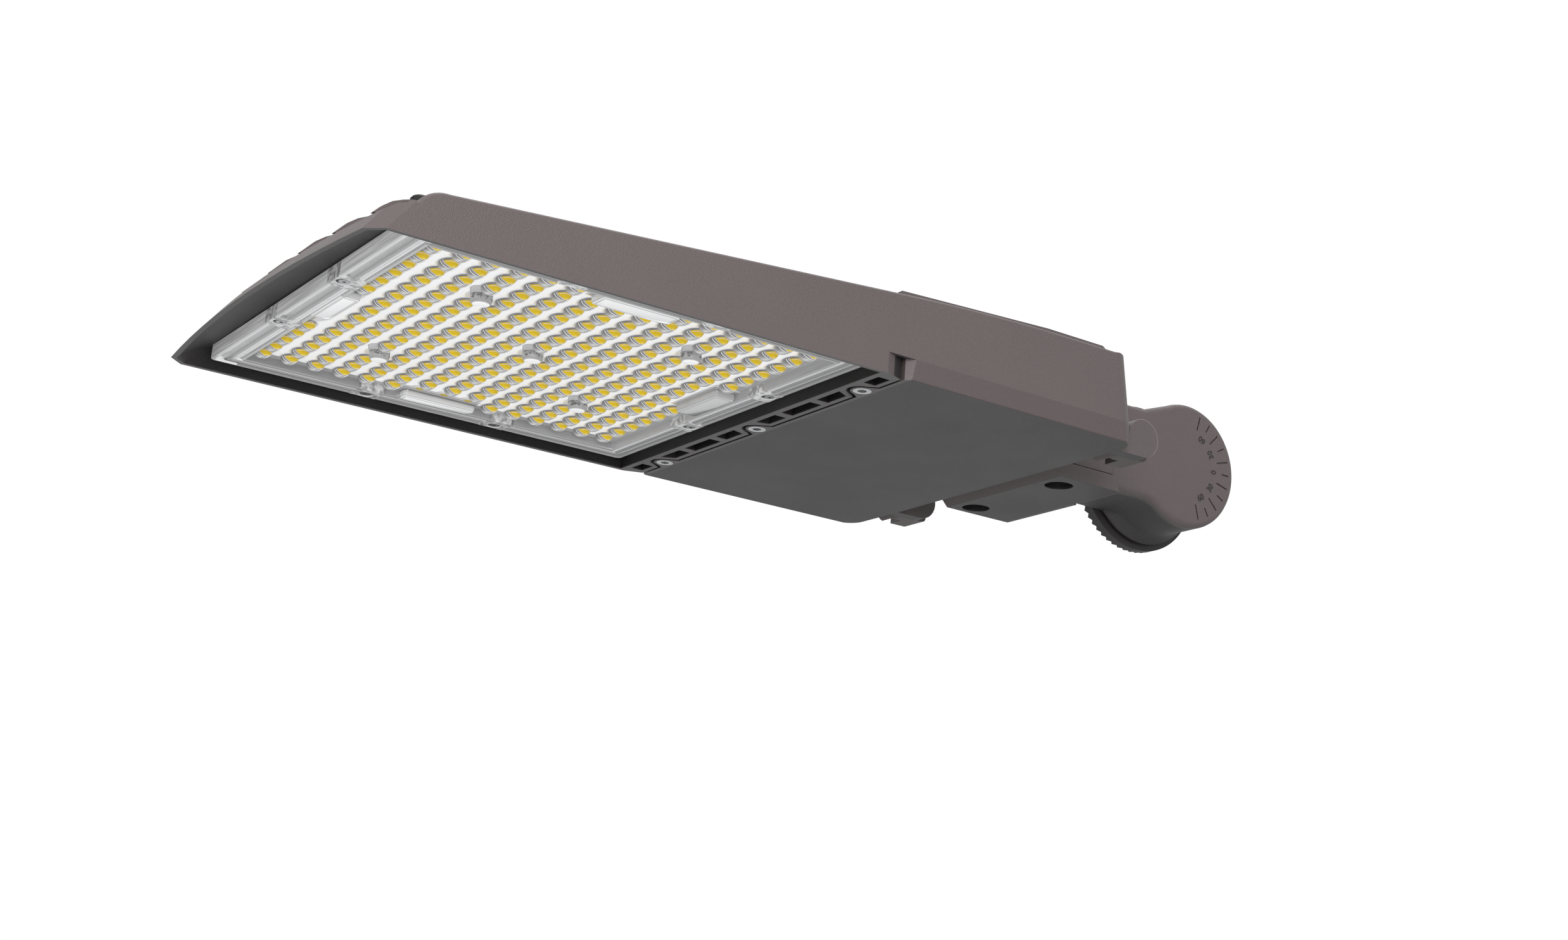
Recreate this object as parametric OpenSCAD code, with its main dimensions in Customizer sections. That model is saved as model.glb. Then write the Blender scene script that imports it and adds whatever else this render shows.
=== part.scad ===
// Shoebox area light with a hinged driver door and an adjustable knuckle arm.
// Millimetres, +Z up. Drawn with X from the middle of the LED field to the rear and Z from
// the underside, then moved so that the origin is the knuckle pivot on its toothed face.

/* [Housing] */
// Width across the side walls
body_w = 319; // [300:1:340]
// Front of the nose, measured forward from the lens plate
nose_reach = 34.7; // [32:0.1:40]
// Length of the driver bay, from the door's front edge to the rear face
bay_l = 189.2; // [186:0.2:202]
// Radius of the bow of the nose in plan
bow_r = 1292; // [1100:1:1600]
// Lean of the nose, in mm of rise for each mm back
rake = 1.32; // [1.1:0.01:1.6]
// Size of the cut corners of the nose
nose_cut = 9.7; // [6:0.1:12]
// Thickness of the skirt round the LED recess
skirt_t = 3; // [2.4:0.1:4]
// Height of the side walls just behind the nose
nose_h = 29.5; // [29:0.1:34]
// Height of the side walls where the driver bay starts
bay_start_h = 54; // [53:0.1:58]
// Height of the side walls at the rear
rear_h = 59.5; // [59:0.1:63]
// Corner radius of the rear of the housing and door
corner_r = 15; // [10:0.5:18]
// Height of the lid of the driver bay above the side walls
lid_step = 4.5; // [3:0.1:6]

/* [LED bay] */
// Distance from one LED to the next
led_pitch = 18; // [17.4:0.1:18.4]
// LEDs along each side of the field
led_count = 15; // [15]
// Edge of one LED chip
chip_w = 3.5; // [2.8:0.1:4]
// Height of the recess floor above the underside
recess_z = 15.7; // [15:0.1:17]
// Height of the underside of the lens frame
lens_z = 5.8; // [4.6:0.1:7]
// Gap between the lens plate and the skirt on each side
lens_side_gap = 3; // [2.5:0.1:5]
// Length of the lens plate along the light
lens_l = 305.8; // [302:0.2:308]
// Distance of the lens plate's middle from the middle of the LED field
lens_shift = -1; // [-2:0.1:0]
// Thickness of the clear plastic
lens_t = 2.5; // [2:0.1:3]
// Diameter of the screw posts in the LED field
post_d = 14.6; // [12:0.1:15]
// Thickness of the LED board
board_t = 1.6; // [1.2:0.1:2]
// Distance of the edge screws from the middle of each side
edge_screw_pitch = 48; // [40:1:54]

/* [Cooling ribs] */
// Thickness of one rib
rib_t = 3.5; // [3:0.1:5]
// Distance between ribs
rib_pitch = 44; // [40:0.5:46]
// Number of ribs on each side of the middle one
rib_side_count = 3; // [2:1:3]
// Top of the base plate that the ribs stand on
base_z = 18.5; // [18:0.1:20]
// Rise of the middle rib over the outer ones
crown = 5.6; // [4:0.1:10]

/* [Driver door] */
// Height of the door's skirt
door_h = 13.5; // [13:0.1:15]
// Thickness of the door's floor
door_t = 3; // [2.5:0.1:4]
// Front edge of the door, measured back from the lens plate
door_back = 22.5; // [22.3:0.1:24]
// Distance from the middle captive screw to each outer one
door_screw_pitch = 118.5; // [116:0.5:121]
// Outer diameter of the door screws' heads
door_screw_head_d = 12; // [11:0.1:12.5]
// Thread diameter of the door screws
door_screw_d = 6; // [5:0.1:6]
// Distance that a door screw backs out before its ring holds it
door_screw_travel = 7.5; // [6:0.1:7.5]

/* [Door hinge] */
// Distance of the hinge pin behind the housing's rear face
hinge_back = 21.6; // [20:0.1:24]
// Height of the hinge pin and radius of the door's ears
hinge_z = 13.2; // [12.6:0.1:13.4]
// Diameter of the hinge pins
pin_d = 8; // [6:0.1:9]
// Radial clearance of the hinge pins in the hooks
pin_play = 0.05; // [0.02:0.01:0.1]
// Thickness of each ear
ear_t = 9.7; // [8:0.1:11]
// Length of each hook along the pin
hook_l = 23.2; // [20:0.1:26]

/* [Mount arm] */
// Near side of the arm, from the middle of the light
arm_near = 65.5; // [63:0.1:68]
// Far side of the arm, from the middle of the light
arm_far = 60.5; // [59:0.1:64]
// Height of the arm's box
arm_h = 67.4; // [66:0.1:70]
// Thickness of the arm's walls
arm_wall = 5; // [4:0.1:6]
// Length of the arm's flat underside
arm_foot_l = 55; // [53:0.1:58]
// Distance between the two arm bolts
arm_bolt_pitch = 92; // [88:0.5:93]
// Diameter of the wells round the arm bolts
arm_well_d = 20.3; // [18.5:0.1:21]
// Thread diameter of the arm bolts
arm_bolt_d = 10; // [8:0.5:10]

/* [Knuckle] */
// Distance of the knuckle pivot behind the housing's rear face
pivot_back = 136.8; // [134:0.2:147]
// Height of the knuckle pivot above the underside
pivot_z = 34.2; // [33:0.1:36]
// Face that the teeth stand on, measured from the middle of the light
tooth_face_y = -6.6; // [-8:0.1:-5]
// Radius of the graduated disc
dial_r = 46; // [44:0.5:47]
// Radius of the toothed flange
flange_r = 55; // [53:0.5:57]
// Number of teeth on the flange
teeth = 60; // [48:6:72]
// Depth of the teeth
tooth_h = 2.4; // [1.8:0.1:2.8]
// Thread diameter of the knuckle bolt's hole
knuckle_bolt_d = 12; // [10:0.5:14]
// Diameter of the hole that the wires pass through
wire_way_d = 20; // [16:0.5:22]

/* [Hidden] */
$fn = 64;

eps = 0.01;
cut = 1;
half_w = body_w / 2;
touch = 0.3;

bronze = [0.45, 0.41, 0.41];
dark = [0.29, 0.28, 0.29];
steel = [0.78, 0.79, 0.8];
rubber = [0.12, 0.12, 0.12];
clear = [0.8, 0.84, 0.86, 0.5];
white = [0.93, 0.93, 0.92];

// Where the lens plate, nose, door, rear face and pivot lie along the light
lens_front_x = lens_shift - lens_l / 2;
lens_rear_x = lens_shift + lens_l / 2;
nose_x = nose_reach - lens_front_x;
door_x = lens_rear_x + door_back;
rear_x = door_x + bay_l;
pivot_x = rear_x + pivot_back;

// Web between the LED recess and the door
lens_end_gap = 3.6;
web_x = lens_rear_x + lens_end_gap;
web_rear_x = door_x - 2.1;
slot_x = web_x + 4.3;
slot_w = 9;
// Bay walls
bay_front_x = door_x - 2.4;
bay_wall = 6;
bay_floor_z = door_h;
bay_cavity_x = door_x + bay_wall;
bay_roof_t = 4;
side_front_x = 34.4 - nose_x;
side_nose_l = 18.2;
side_start_x = side_front_x + side_nose_l;
side_top_slope = (bay_start_h - nose_h) / (bay_front_x - side_start_x);
level_x = rear_x - 53.6;
rear_lean = 8.2;
rear_top_r = 6;

// Lens
lens_w = body_w - 2 * (skirt_t + lens_side_gap);
lens_screw_in = 5.9;
lens_gasket_t = 1.5;
gasket_bite = 1;
lens_wall_top = recess_z - lens_gasket_t + gasket_bite;
field = (led_count - 1) / 2 * led_pitch;
field_edge = field + 10;
field_z = 11.3;
board_z = recess_z - board_t;
board_in = 10.4;
board_hole_d = 6;
chip_t = 0.6;

// Door screws
door_screw_x = door_x - 4.7;
tab_z = 9;
head_h = 5.5;
ring_t = 1;
ring_d = 10;
boss_gap = 0.6;
boss_z = tab_z + boss_gap;
thread_z = 17;
door_screw_top = 24;
screw_play = 0.35;
neck_d = door_screw_d - 1.6;
tab_r = 7.6;
tab_gap = 2.6;

// Hinge
hinge_x = rear_x + hinge_back;
hook_gap = 0.4;
hook_r = 12.4;
hook_slot = 4.5;
hook_plate_t = 10.5;
ears_y = [-141.3, 100.4];

// Arm
arm_front_x = rear_x + 3.9;
pad_x = rear_x + 2.4;
arm_mid = (arm_far - arm_near) / 2;
arm_bevel = 11.5;
foot_end_x = arm_front_x + arm_bevel + arm_foot_l;
box_end_x = foot_end_x + 3;
well_h = 16;
shelf_t = 6;
tongue_z = well_h + shelf_t;
// Rim of the arm's open front, and the hole for the wires between it and the tongue
rim_in = 6.5;
rim_z = [bay_floor_z + 7, arm_h - 10.5];
wire_hole_r = 7;
wire_z = rim_z[1] - wire_hole_r - 2.4;
tongue_h = wire_z - wire_hole_r - 2.5 - tongue_z;
arm_bolt_x = arm_front_x + 27;
arm_bolt_y = [-arm_bolt_pitch / 2, arm_bolt_pitch / 2];
arm_head_d = 16;
arm_washer_t = 2;
arm_washer_d = 19;
belly_z = 1.5;
flange_t = 9;
cover_x = [arm_front_x + 16.5, arm_front_x + 59.8];
cover_z = [11.8, 50];
cover_t = 2.5;
cover_gap = 0.5;

// Driver bay contents
driver_x = bay_cavity_x + 24.6;
driver_w = 68;
driver_l = 200;
driver_z = 13;
driver_h = 35;
foot_t = 2;
roof_boss_z = driver_z + driver_h + foot_t;
driver_foot_l = 14;
duct_y = 60;
duct_z = 27;
duct_r = 4.5;
duct_x = web_x - 18.5;
surge = [40, 62, 26];
surge_at = [driver_x + driver_w + 19, -130, 24];
block = [18, 54, 16];
block_at = [driver_x + driver_w + 25, 34, 36];
ground_at = [driver_x + driver_w + 52, 112];

function on_rake(z, y = 0) = -nose_x + y * y / (2 * bow_r) + z / rake;
function side_top(x) = x <= bay_front_x ? nose_h + side_top_slope * (x - side_start_x)
    : let (d = min(x, level_x) - bay_front_x, l = level_x - bay_front_x,
           rise = rear_h - bay_start_h, s = side_top_slope)
      bay_start_h + s * d + (rise - s * l) * pow(d / l, 2);
function crown_at(y) = crown * (1 - pow(y / (rib_side_count * rib_pitch), 2));
function steps(a, b, n) = [for (i = [0 : n]) a + (b - a) * i / n];

module place() translate([-pivot_x, -tooth_face_y, -pivot_z]) children();
// Draws an XZ outline and gives it a width along Y, from y0 to y1
module along_y(y0, y1) translate([0, y1, 0]) rotate([90, 0, 0])
    linear_extrude(height = y1 - y0) children();
module bar_y(x, z, r, y0, y1) translate([x, y0, z]) rotate([-90, 0, 0])
    cylinder(r = r, h = y1 - y0);
module bar_x(x0, x1, y, z, r) translate([x0, y, z]) rotate([0, 90, 0])
    cylinder(r = r, h = x1 - x0);
// Everything beyond a plane through p whose outward normal is turned by phi and leans by theta
module beyond(p, theta, phi, size = 700) translate(p) rotate([0, theta, phi])
    translate([-size / 2, -size / 2, 0]) cube(size);
module ring_2d(r_out, r_in) difference() { circle(r_out); circle(r_in); }
module box(p, q) translate(p) cube(q - p);

// Plan of the door, drawn in by d on every side
module bay_plan(d = 0) {
    x0 = door_x + d;
    x1 = rear_x - d;
    w = half_w - d;
    r = corner_r - d;
    union() {
        polygon([[x0, -(w - 3.7)], [x0 + 5.6, -w], [x1 - r, -w], [x1 - r, w], [x0 + 5.6, w],
            [x0, w - 3.7]]);
        translate([x1 - r - cut, -(w - r)]) square([r + cut, 2 * (w - r)]);
        for (s = [-1, 1]) translate([x1 - r, s * (w - r)]) circle(r);
    }
}

// ---- housing ----
module nose_cone(back = 0) translate([bow_r - nose_x + back, 0, 0])
    cylinder(h = 80, r1 = bow_r, r2 = bow_r - 80 / rake, $fn = 128);
module nose_corners(back = 0) {
    lean = acos(nose_cut / norm([nose_cut, nose_cut * rake, nose_cut * rake]));
    corner_x = -nose_x + half_w * half_w / (2 * bow_r) + nose_cut - 1.1;
    for (s = [-1, 1])
        beyond([corner_x + back * sqrt(2), s * half_w, 0], lean, s * 135);
}
module housing_plan() {
    r = corner_r;
    union() {
        translate([-nose_x - 20, -half_w]) square([rear_x - r + nose_x + 20, body_w]);
        translate([rear_x - r - cut, -(half_w - r)]) square([r + cut, body_w - 2 * r]);
        for (s = [-1, 1]) translate([rear_x - r, s * (half_w - r)]) circle(r);
    }
}
side_nose = [for (t = steps(0, 1, 8))
    [side_front_x + side_nose_l * t, nose_h - 8.8 * pow(1 - t, 2.5)]];
rear_top_x = rear_x - (rear_h - bay_floor_z) * tan(rear_lean);
side_profile = concat(
    [[side_front_x - 20.3, 0], [side_front_x - 4, nose_h - 8.8 - 4 * rake + 5.2]], side_nose,
    [for (x = steps(bay_front_x, level_x, 8)) [x, side_top(x)]],
    [for (a = steps(90, rear_lean, 5))
        [rear_top_x - rear_top_r + rear_top_r * cos(a), rear_h - rear_top_r + rear_top_r * sin(a)]],
    [[rear_x + 9, rear_h - rear_top_r], [rear_x + 9, 0]]);
// One rib: it follows the nose, rounds over and climbs to the driver bay's lid
module rib(y) {
    z0 = nose_h - 6.1 + crown_at(y);
    x0 = on_rake(z0, y);
    along_y(y - rib_t / 2, y + rib_t / 2) polygon(concat(
        [[-nose_x - 5, base_z - cut], [-nose_x - 5, z0]],
        [for (t = steps(0, 1, 8)) [x0 + 46 * t, z0 + 8.5 * (1 - pow(1 - t, 3)) + 3 * t]],
        [[bay_front_x + cut, bay_start_h + lid_step], [bay_front_x + cut, base_z - cut]]));
}
module web_slot(y0, y1, lean0 = 0, lean1 = 0) translate([0, 0, -cut])
    linear_extrude(height = base_z + 2 * cut) polygon([[slot_x, y0], [slot_x, y1],
        [slot_x + slot_w, y1 - lean1], [slot_x + slot_w, y0 + lean0]]);
module tab_plan(y, gap = 0) union() {
    translate([door_screw_x, y]) circle(tab_r + gap);
    polygon([[door_screw_x - 4.2 - gap / 2, y - 6.3 - gap * 0.8],
        [door_x + cut, y - 12.5 - gap * 1.3], [door_x + cut, y + 12.5 + gap * 1.3],
        [door_screw_x - 4.2 - gap / 2, y + 6.3 + gap * 0.8]]);
}
door_screw_ys = [-door_screw_pitch, 0, door_screw_pitch];
edge_screws = concat(
    [for (s = [-1, 1]) for (t = [-1, 1]) [s * (lens_l / 2 - lens_screw_in), t * edge_screw_pitch]],
    [for (s = [-1, 1]) for (t = [-1, 1]) [s * edge_screw_pitch, t * (lens_w / 2 - lens_screw_in - 0.6)]]);
post_at = [[-4, -4], [-4, 4], [0, 0], [4, -4], [4, 4]];
lens_screw_at = concat(edge_screws, [for (p = post_at) p * led_pitch]);
lens_screw_d = 4;
lens_head_d = 6.8;
lens_head_h = 2.3;
small_screw_d = 4;
small_head_d = 7;
small_head_h = 2.4;
small_thread_l = 7;
hook_ys = [for (y = ears_y) y + ear_t + hook_gap];
driver_feet = [for (x = [driver_x + 10, driver_x + driver_w - 10]) for (s = [-1, 1])
    [x, s * (driver_l / 2 + driver_foot_l / 2)]];
surge_feet = [for (y = [surge_at[1] - 6, surge_at[1] + surge[1] + 6])
    [surge_at[0] + surge[0] / 2, y]];
block_feet = [for (y = [block_at[1] + 4, block_at[1] + block[1] - 4])
    [block_at[0] + block[0] / 2, y]];

module housing_blank() {
    difference() {
        intersection() {
            union() {
                box([-nose_x - 5, -half_w, 0], [web_rear_x, half_w, base_z]);
                along_y(-half_w, half_w) polygon(side_profile);
            }
            // The rear face and its round corners lean forward together
            translate([rear_x, 0, bay_floor_z]) rotate([0, -rear_lean, 0])
                translate([-rear_x, 0, -rear_h]) linear_extrude(height = 4 * rear_h) housing_plan();
            nose_cone();
        }
        box([-nose_x - 5, -(half_w - skirt_t), base_z],
            [bay_front_x, half_w - skirt_t, 90]);
        // The top edge of the nose is rounded off by a flatter cone
        difference() {
            box([-nose_x - 5, -(half_w - skirt_t), 14.5],
                [side_start_x + 36, half_w - skirt_t, base_z + cut]);
            translate([bow_r - nose_x, 0, 14.5])
                cylinder(h = 10, r1 = bow_r - 14.5 / rake, r2 = bow_r - 14.5 / rake - 14,
                    $fn = 128);
        }
    }
    intersection() {
        for (i = [-rib_side_count : rib_side_count]) rib(i * rib_pitch);
        nose_cone();
    }
    // Lid of the driver bay
    along_y(-(half_w - 8), half_w - 8) polygon([[bay_front_x, bay_start_h - 6],
        [bay_front_x, bay_start_h + lid_step], [level_x - 20, rear_h + lid_step],
        [rear_x - 26, rear_h + lid_step], [rear_x - 19, rear_h], [rear_x - 19, rear_h - 6]]);
    // Wire duct, screw bosses and lens screw bosses on the base plate
    box([duct_x - 8, duct_y - 8, base_z - cut],
        [bay_front_x + cut, duct_y + 8, duct_z + duct_r + 3]);
    for (y = door_screw_ys) translate([door_screw_x, y, base_z - cut])
        cylinder(d = 14, h = door_screw_top + 3 - base_z + cut);
    for (p = lens_screw_at) translate([p[0], p[1], base_z - cut])
        cylinder(d = 8, h = 5 + cut);
    // Pad and tongue that carry the arm
    box([rear_x - 12, -arm_near + 1.5, bay_floor_z + 1], [pad_x, arm_far - 1.5, arm_h - 5]);
    box([pad_x - cut, -arm_bolt_pitch / 2 - 9, tongue_z],
        [arm_bolt_x + 20, arm_bolt_pitch / 2 + 8, tongue_z + tongue_h]);
    // Hinge hooks
    for (y = hook_ys) along_y(y, y + hook_l) hook_profile();
}
// Side view of a hook: flat below, with a small round behind and a larger one in front
module hook_profile() {
    x0 = rear_x + 4.4;
    z0 = hinge_z - hook_r;
    polygon(concat([[rear_x - 10, bay_floor_z + 1], [rear_x - 10, hinge_z + hook_r]],
        [for (a = steps(90, 0, 8)) [hinge_x + hook_r * cos(a), hinge_z + hook_r * sin(a)]],
        [for (a = steps(0, -90, 4)) [hinge_x + hook_r - 3 + 3 * cos(a), z0 + 3 + 3 * sin(a)]],
        [for (a = steps(270, 180, 6)) [x0 + 8 + 8 * cos(a), z0 + 8 + 8 * sin(a)]],
        [[x0, bay_floor_z + 1]]));
}

module housing() color(bronze) place() difference() {
    housing_blank();
    nose_corners();
    // LED recess, with the hollow inside of the nose
    difference() {
        intersection() {
            box([-nose_x, -(half_w - skirt_t), -cut], [web_x, half_w - skirt_t, recess_z]);
            translate([bow_r - nose_x, 0, 0]) rotate_extrude($fn = 128) polygon(concat(
                [[0, -cut], [bow_r - 3.4, -cut], [bow_r - 3.4, 0]],
                [for (t = steps(0, 1, 6))
                    [bow_r - 6.5 - 26 * t, 4 + (recess_z - 4) * (1 - pow(1 - t, 2))]],
                [[0, recess_z]]));
        }
        nose_corners(skirt_t);
    }
    // Room for the wall of the lens plate under the round of the nose
    box([lens_front_x - touch, -lens_w / 2 - touch, lens_z], [0, lens_w / 2 + touch, lens_wall_top + touch]);
    // Underside behind the web, where the door sits
    box([web_rear_x, -half_w - cut, -cut], [rear_x + 3, half_w + cut, bay_floor_z]);
    for (s = [-1, 1]) translate([0, 0, -cut]) linear_extrude(height = bay_floor_z + cut)
        polygon([[159, s * (half_w + cut)], [159, s * half_w], [web_rear_x + eps, s * (half_w - 5.5)],
            [web_rear_x + cut, s * (half_w + cut)]]);
    for (y = door_screw_ys) {
        translate([0, 0, -cut]) linear_extrude(height = boss_z + cut) tab_plan(y, tab_gap);
        translate([door_screw_x, y, boss_z - cut])
            cylinder(r = door_screw_d / 2 + screw_play, h = door_screw_top + cut + cut - boss_z);
    }
    // Air slots through the web
    web_slot(133, 148.8);
    web_slot(82.8, 108, 0, 5);
    web_slot(43, 76);
    web_slot(13.3, 36, 2.5, 0);
    web_slot(-36, -13.3, 0, 2.5);
    web_slot(-76, -43);
    web_slot(-108, -82.8, 5, 0);
    web_slot(-148.8, -133);
    // Driver bay
    difference() {
        along_y(-(half_w - bay_wall), half_w - bay_wall) polygon([[bay_cavity_x, bay_floor_z - cut],
            [bay_cavity_x, side_top(bay_cavity_x) - bay_roof_t],
            [level_x, rear_h - bay_roof_t], [rear_x - bay_wall - 7, rear_h - bay_roof_t],
            [rear_x - bay_wall, bay_floor_z - cut]]);
        for (p = concat(driver_feet, surge_feet, block_feet, [ground_at]))
            translate([p[0], p[1], roof_boss_z]) cylinder(d = 9, h = 20);
    }
    for (p = concat(driver_feet, surge_feet, block_feet, [ground_at]))
        translate([p[0], p[1], roof_boss_z - cut]) cylinder(d = 4.1, h = 8 + cut);
    // Seats of the two gaskets
    translate([0, 0, bay_floor_z - cut]) linear_extrude(height = 1.5 + cut)
        gasket_plan(0.1);
    lens_gasket_solid(gasket_bite, 0.05);
    // Wire duct to the LED bay, and wire hole to the arm
    bar_x(duct_x, bay_cavity_x + cut, duct_y, duct_z, duct_r);
    translate([duct_x, duct_y, recess_z - cut]) cylinder(r = duct_r, h = duct_z - recess_z + cut);
    translate([duct_x, duct_y, duct_z]) sphere(r = duct_r);
    bar_x(rear_x - 20, pad_x + cut, arm_mid, wire_z, wire_hole_r);
    // Threads
    for (p = lens_screw_at) translate([p[0], p[1], recess_z - cut])
        cylinder(d = lens_screw_d + 0.1, h = 6 + cut);
    for (y = arm_bolt_y) translate([arm_bolt_x, y, tongue_z - cut])
        cylinder(d = arm_bolt_d + 0.1, h = tongue_h - 2 + cut);
    for (y = hook_ys) {
        bar_y(hinge_x, hinge_z, pin_d / 2 + pin_play, y - cut, y + hook_l + cut);
        along_y(y + hook_plate_t, y + hook_l + cut) translate([hinge_x - 8, hinge_z - hook_r])
            polygon([[0, hook_r], [hook_slot, hook_r], [hook_slot, -cut], [-4.5, -cut],
                [-4.5, 0], [-2.6, 0.7], [-0.9, 2.2], [0, 5]]);
    }
    translate([vent_at[0], vent_at[1], base_z - 1.5]) cylinder(d = 8.1, h = 1.5 + cut);
}

// Black breather plug in the first channel between the ribs
vent_d = 12;
vent_rib_edge = rib_side_count * rib_pitch + rib_t / 2;
vent_channel_w = half_w - skirt_t - vent_rib_edge;
vent_at = [side_front_x + 8.2, -(vent_rib_edge + vent_d / 2 + 0.3 * (vent_channel_w - vent_d))];
vent_h = 9.4;
module vent_plug() color(rubber) place() translate([vent_at[0], vent_at[1], base_z])
    union() {
        translate([0, 0, -1.5]) cylinder(d = 8, h = 2);
        cylinder(d = vent_d, h = vent_h);
        translate([0, 0, vent_h]) cylinder(d1 = vent_d, d2 = vent_d - 2, h = 1.2);
    }

// ---- LED bay ----
module led_board() color(white) place() difference() {
    box([-lens_l / 2 + board_in, -lens_w / 2 + board_in + 0.6, board_z],
        [lens_l / 2 - board_in, lens_w / 2 - board_in - 0.6, recess_z]);
    for (p = lens_screw_at) translate([p[0], p[1], board_z - cut])
        cylinder(d = board_hole_d, h = board_t + 2 * cut);
}
function led_here(i, j) =
    !(i == 0 && j >= 6 && j <= 9) && !(i == led_count - 1 && j >= 6 && j <= 8)
    && !(j == 0 && i >= 6 && i <= 8) && !(j == led_count - 1 && i >= 6 && i <= 8)
    && !(i == 3 && j == 3) && !(i == 3 && j == 11) && !(i == 7 && j == 7)
    && !(i == 11 && j == 3) && !(i == 11 && j == 11);
module led_chips() color([0.85, 0.72, 0.2]) place()
    for (i = [0 : led_count - 1]) for (j = [0 : led_count - 1]) if (led_here(i, j))
        translate([i * led_pitch - field - chip_w / 2, j * led_pitch - field - chip_w / 2,
            board_z - chip_t]) cube([chip_w, chip_w, chip_t]);

module lens_gasket_solid(h, play = 0) {
    difference() {
        box([lens_front_x + 0.4 - play, -lens_w / 2 + 0.4 - play, recess_z + gasket_bite - lens_gasket_t],
            [lens_rear_x - 0.4 + play, lens_w / 2 - 0.4 + play, recess_z + gasket_bite]);
        box([lens_front_x + 2.6 + play, -lens_w / 2 + 2.6 + play, 0],
            [lens_rear_x - 2.6 - play, lens_w / 2 - 2.6 - play, 90]);
    }
}
module lens_gasket() color(rubber) place() lens_gasket_solid(gasket_bite);

// The clear plate: an outer wall, a raised frame, a lower field and its screw posts
window_boxes = [
    [[-field - 12, -22.5], [-field + 4, 22.5 + led_pitch / 2]],
    [[field - 12, -27], [field + 10, 27]],
    [[-27, -field - 10], [27, -field + 10]],
    [[-27, field - 8], [27, field + 10]]];
module lens_plate() color(clear) place() difference() {
    union() {
        difference() {
            box([lens_front_x, -lens_w / 2, lens_z], [lens_rear_x, lens_w / 2, lens_wall_top]);
            box([lens_front_x + skirt_t, -lens_w / 2 + skirt_t, lens_z + lens_t],
                [lens_rear_x - skirt_t, lens_w / 2 - skirt_t, 90]);
            box([-field_edge, -field_edge, 0], [field_edge, field_edge, 90]);
        }
        box([-field_edge - 2, -field_edge - 2, field_z], [field_edge + 2, field_edge + 2, field_z + 2]);
        difference() {
            box([-field_edge - 2, -field_edge - 2, lens_z], [field_edge + 2, field_edge + 2, field_z + 2]);
            box([-field_edge, -field_edge, 0], [field_edge, field_edge, 90]);
        }
        for (w = window_boxes) box([w[0][0], w[0][1], lens_z], [w[1][0], w[1][1], field_z + 1]);
        for (p = post_at) translate([p[0] * led_pitch, p[1] * led_pitch, lens_z])
            cylinder(d = post_d, h = field_z + 1 - lens_z);
        for (p = edge_screws) translate([p[0], p[1], lens_z])
            cylinder(d = 8, h = lens_wall_top - lens_z);
    }
    for (p = lens_screw_at) translate([p[0], p[1], lens_z - cut]) {
        cylinder(d = lens_screw_d + 0.4, h = 20);
        cylinder(d = lens_head_d + 0.2, h = cut + lens_head_h + 0.4);
    }
}
module lens_screws() color(steel) place() for (p = lens_screw_at)
    translate([p[0], p[1], lens_z + 0.4]) difference() {
        union() {
            cylinder(d = lens_head_d, h = lens_head_h);
            cylinder(d = lens_screw_d, h = recess_z + 5 - lens_z - 0.4);
        }
        translate([0, 0, -cut]) cylinder(d = 2.6, h = cut + 1.4, $fn = 6);
    }

// ---- door ----
module gasket_plan(play = 0) difference() {
    bay_plan(1.8 - play);
    bay_plan(4.2 + play);
}
module door() color(dark) place() difference() {
    union() {
        linear_extrude(height = door_h) bay_plan();
        for (y = door_screw_ys) linear_extrude(height = tab_z) tab_plan(y);
        for (y = ears_y) {
            bar_y(hinge_x, hinge_z, hinge_z, y, y + ear_t);
            box([rear_x - bay_wall, y, 0], [hinge_x, y + ear_t, hinge_z]);
        }
    }
    translate([0, 0, door_t]) linear_extrude(height = door_h) bay_plan(bay_wall);
    // The skirt leans in towards the underside
    for (s = [-1, 1]) beyond([0, s * half_w, door_h], 95, s * 90, 1000);
    translate([0, 0, door_h - 1.2]) linear_extrude(height = 2) gasket_plan(0.1);
    for (y = door_screw_ys) translate([door_screw_x, y, -cut]) {
        cylinder(d = door_screw_head_d + 0.6, h = cut + head_h + 0.2);
        cylinder(d = door_screw_d + 0.6, h = 20);
        translate([0, 0, cut + tab_z - ring_t]) cylinder(d = ring_d + 0.1, h = 5);
    }
    for (y = ears_y) bar_y(hinge_x, hinge_z, pin_d / 2, y + ear_t - 7, y + ear_t + cut);
}
module door_gasket() color(rubber) place() translate([0, 0, door_h - 1.2 + touch])
    linear_extrude(height = 1.5 + 1.2 - touch) gasket_plan();

// A captive screw: head, thin neck that slides in its ring, and a short thread
module door_screw(y) color(steel) place() translate([door_screw_x, y, 0]) difference() {
    union() {
        cylinder(d = door_screw_head_d, h = head_h);
        cylinder(d = neck_d, h = thread_z + cut);
        translate([0, 0, thread_z]) cylinder(d = door_screw_d, h = door_screw_top - thread_z);
    }
    translate([0, 0, -cut]) cylinder(d = 5 / cos(30) + 0.6, h = cut + 3.2, $fn = 6);
}
module door_screw_near() door_screw(door_screw_ys[0]);
module door_screw_middle() door_screw(door_screw_ys[1]);
module door_screw_far() door_screw(door_screw_ys[2]);
module captive_rings() color(steel) place() for (y = door_screw_ys)
    translate([door_screw_x, y, tab_z - ring_t]) difference() {
        cylinder(d = ring_d, h = ring_t);
        translate([0, 0, -cut]) cylinder(d = neck_d + 0.3, h = ring_t + 2 * cut);
    }
module hinge_pins() color(steel) place() for (y = ears_y)
    bar_y(hinge_x, hinge_z, pin_d / 2, y + ear_t - 7, y + ear_t + hook_gap + hook_l - 1);

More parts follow.
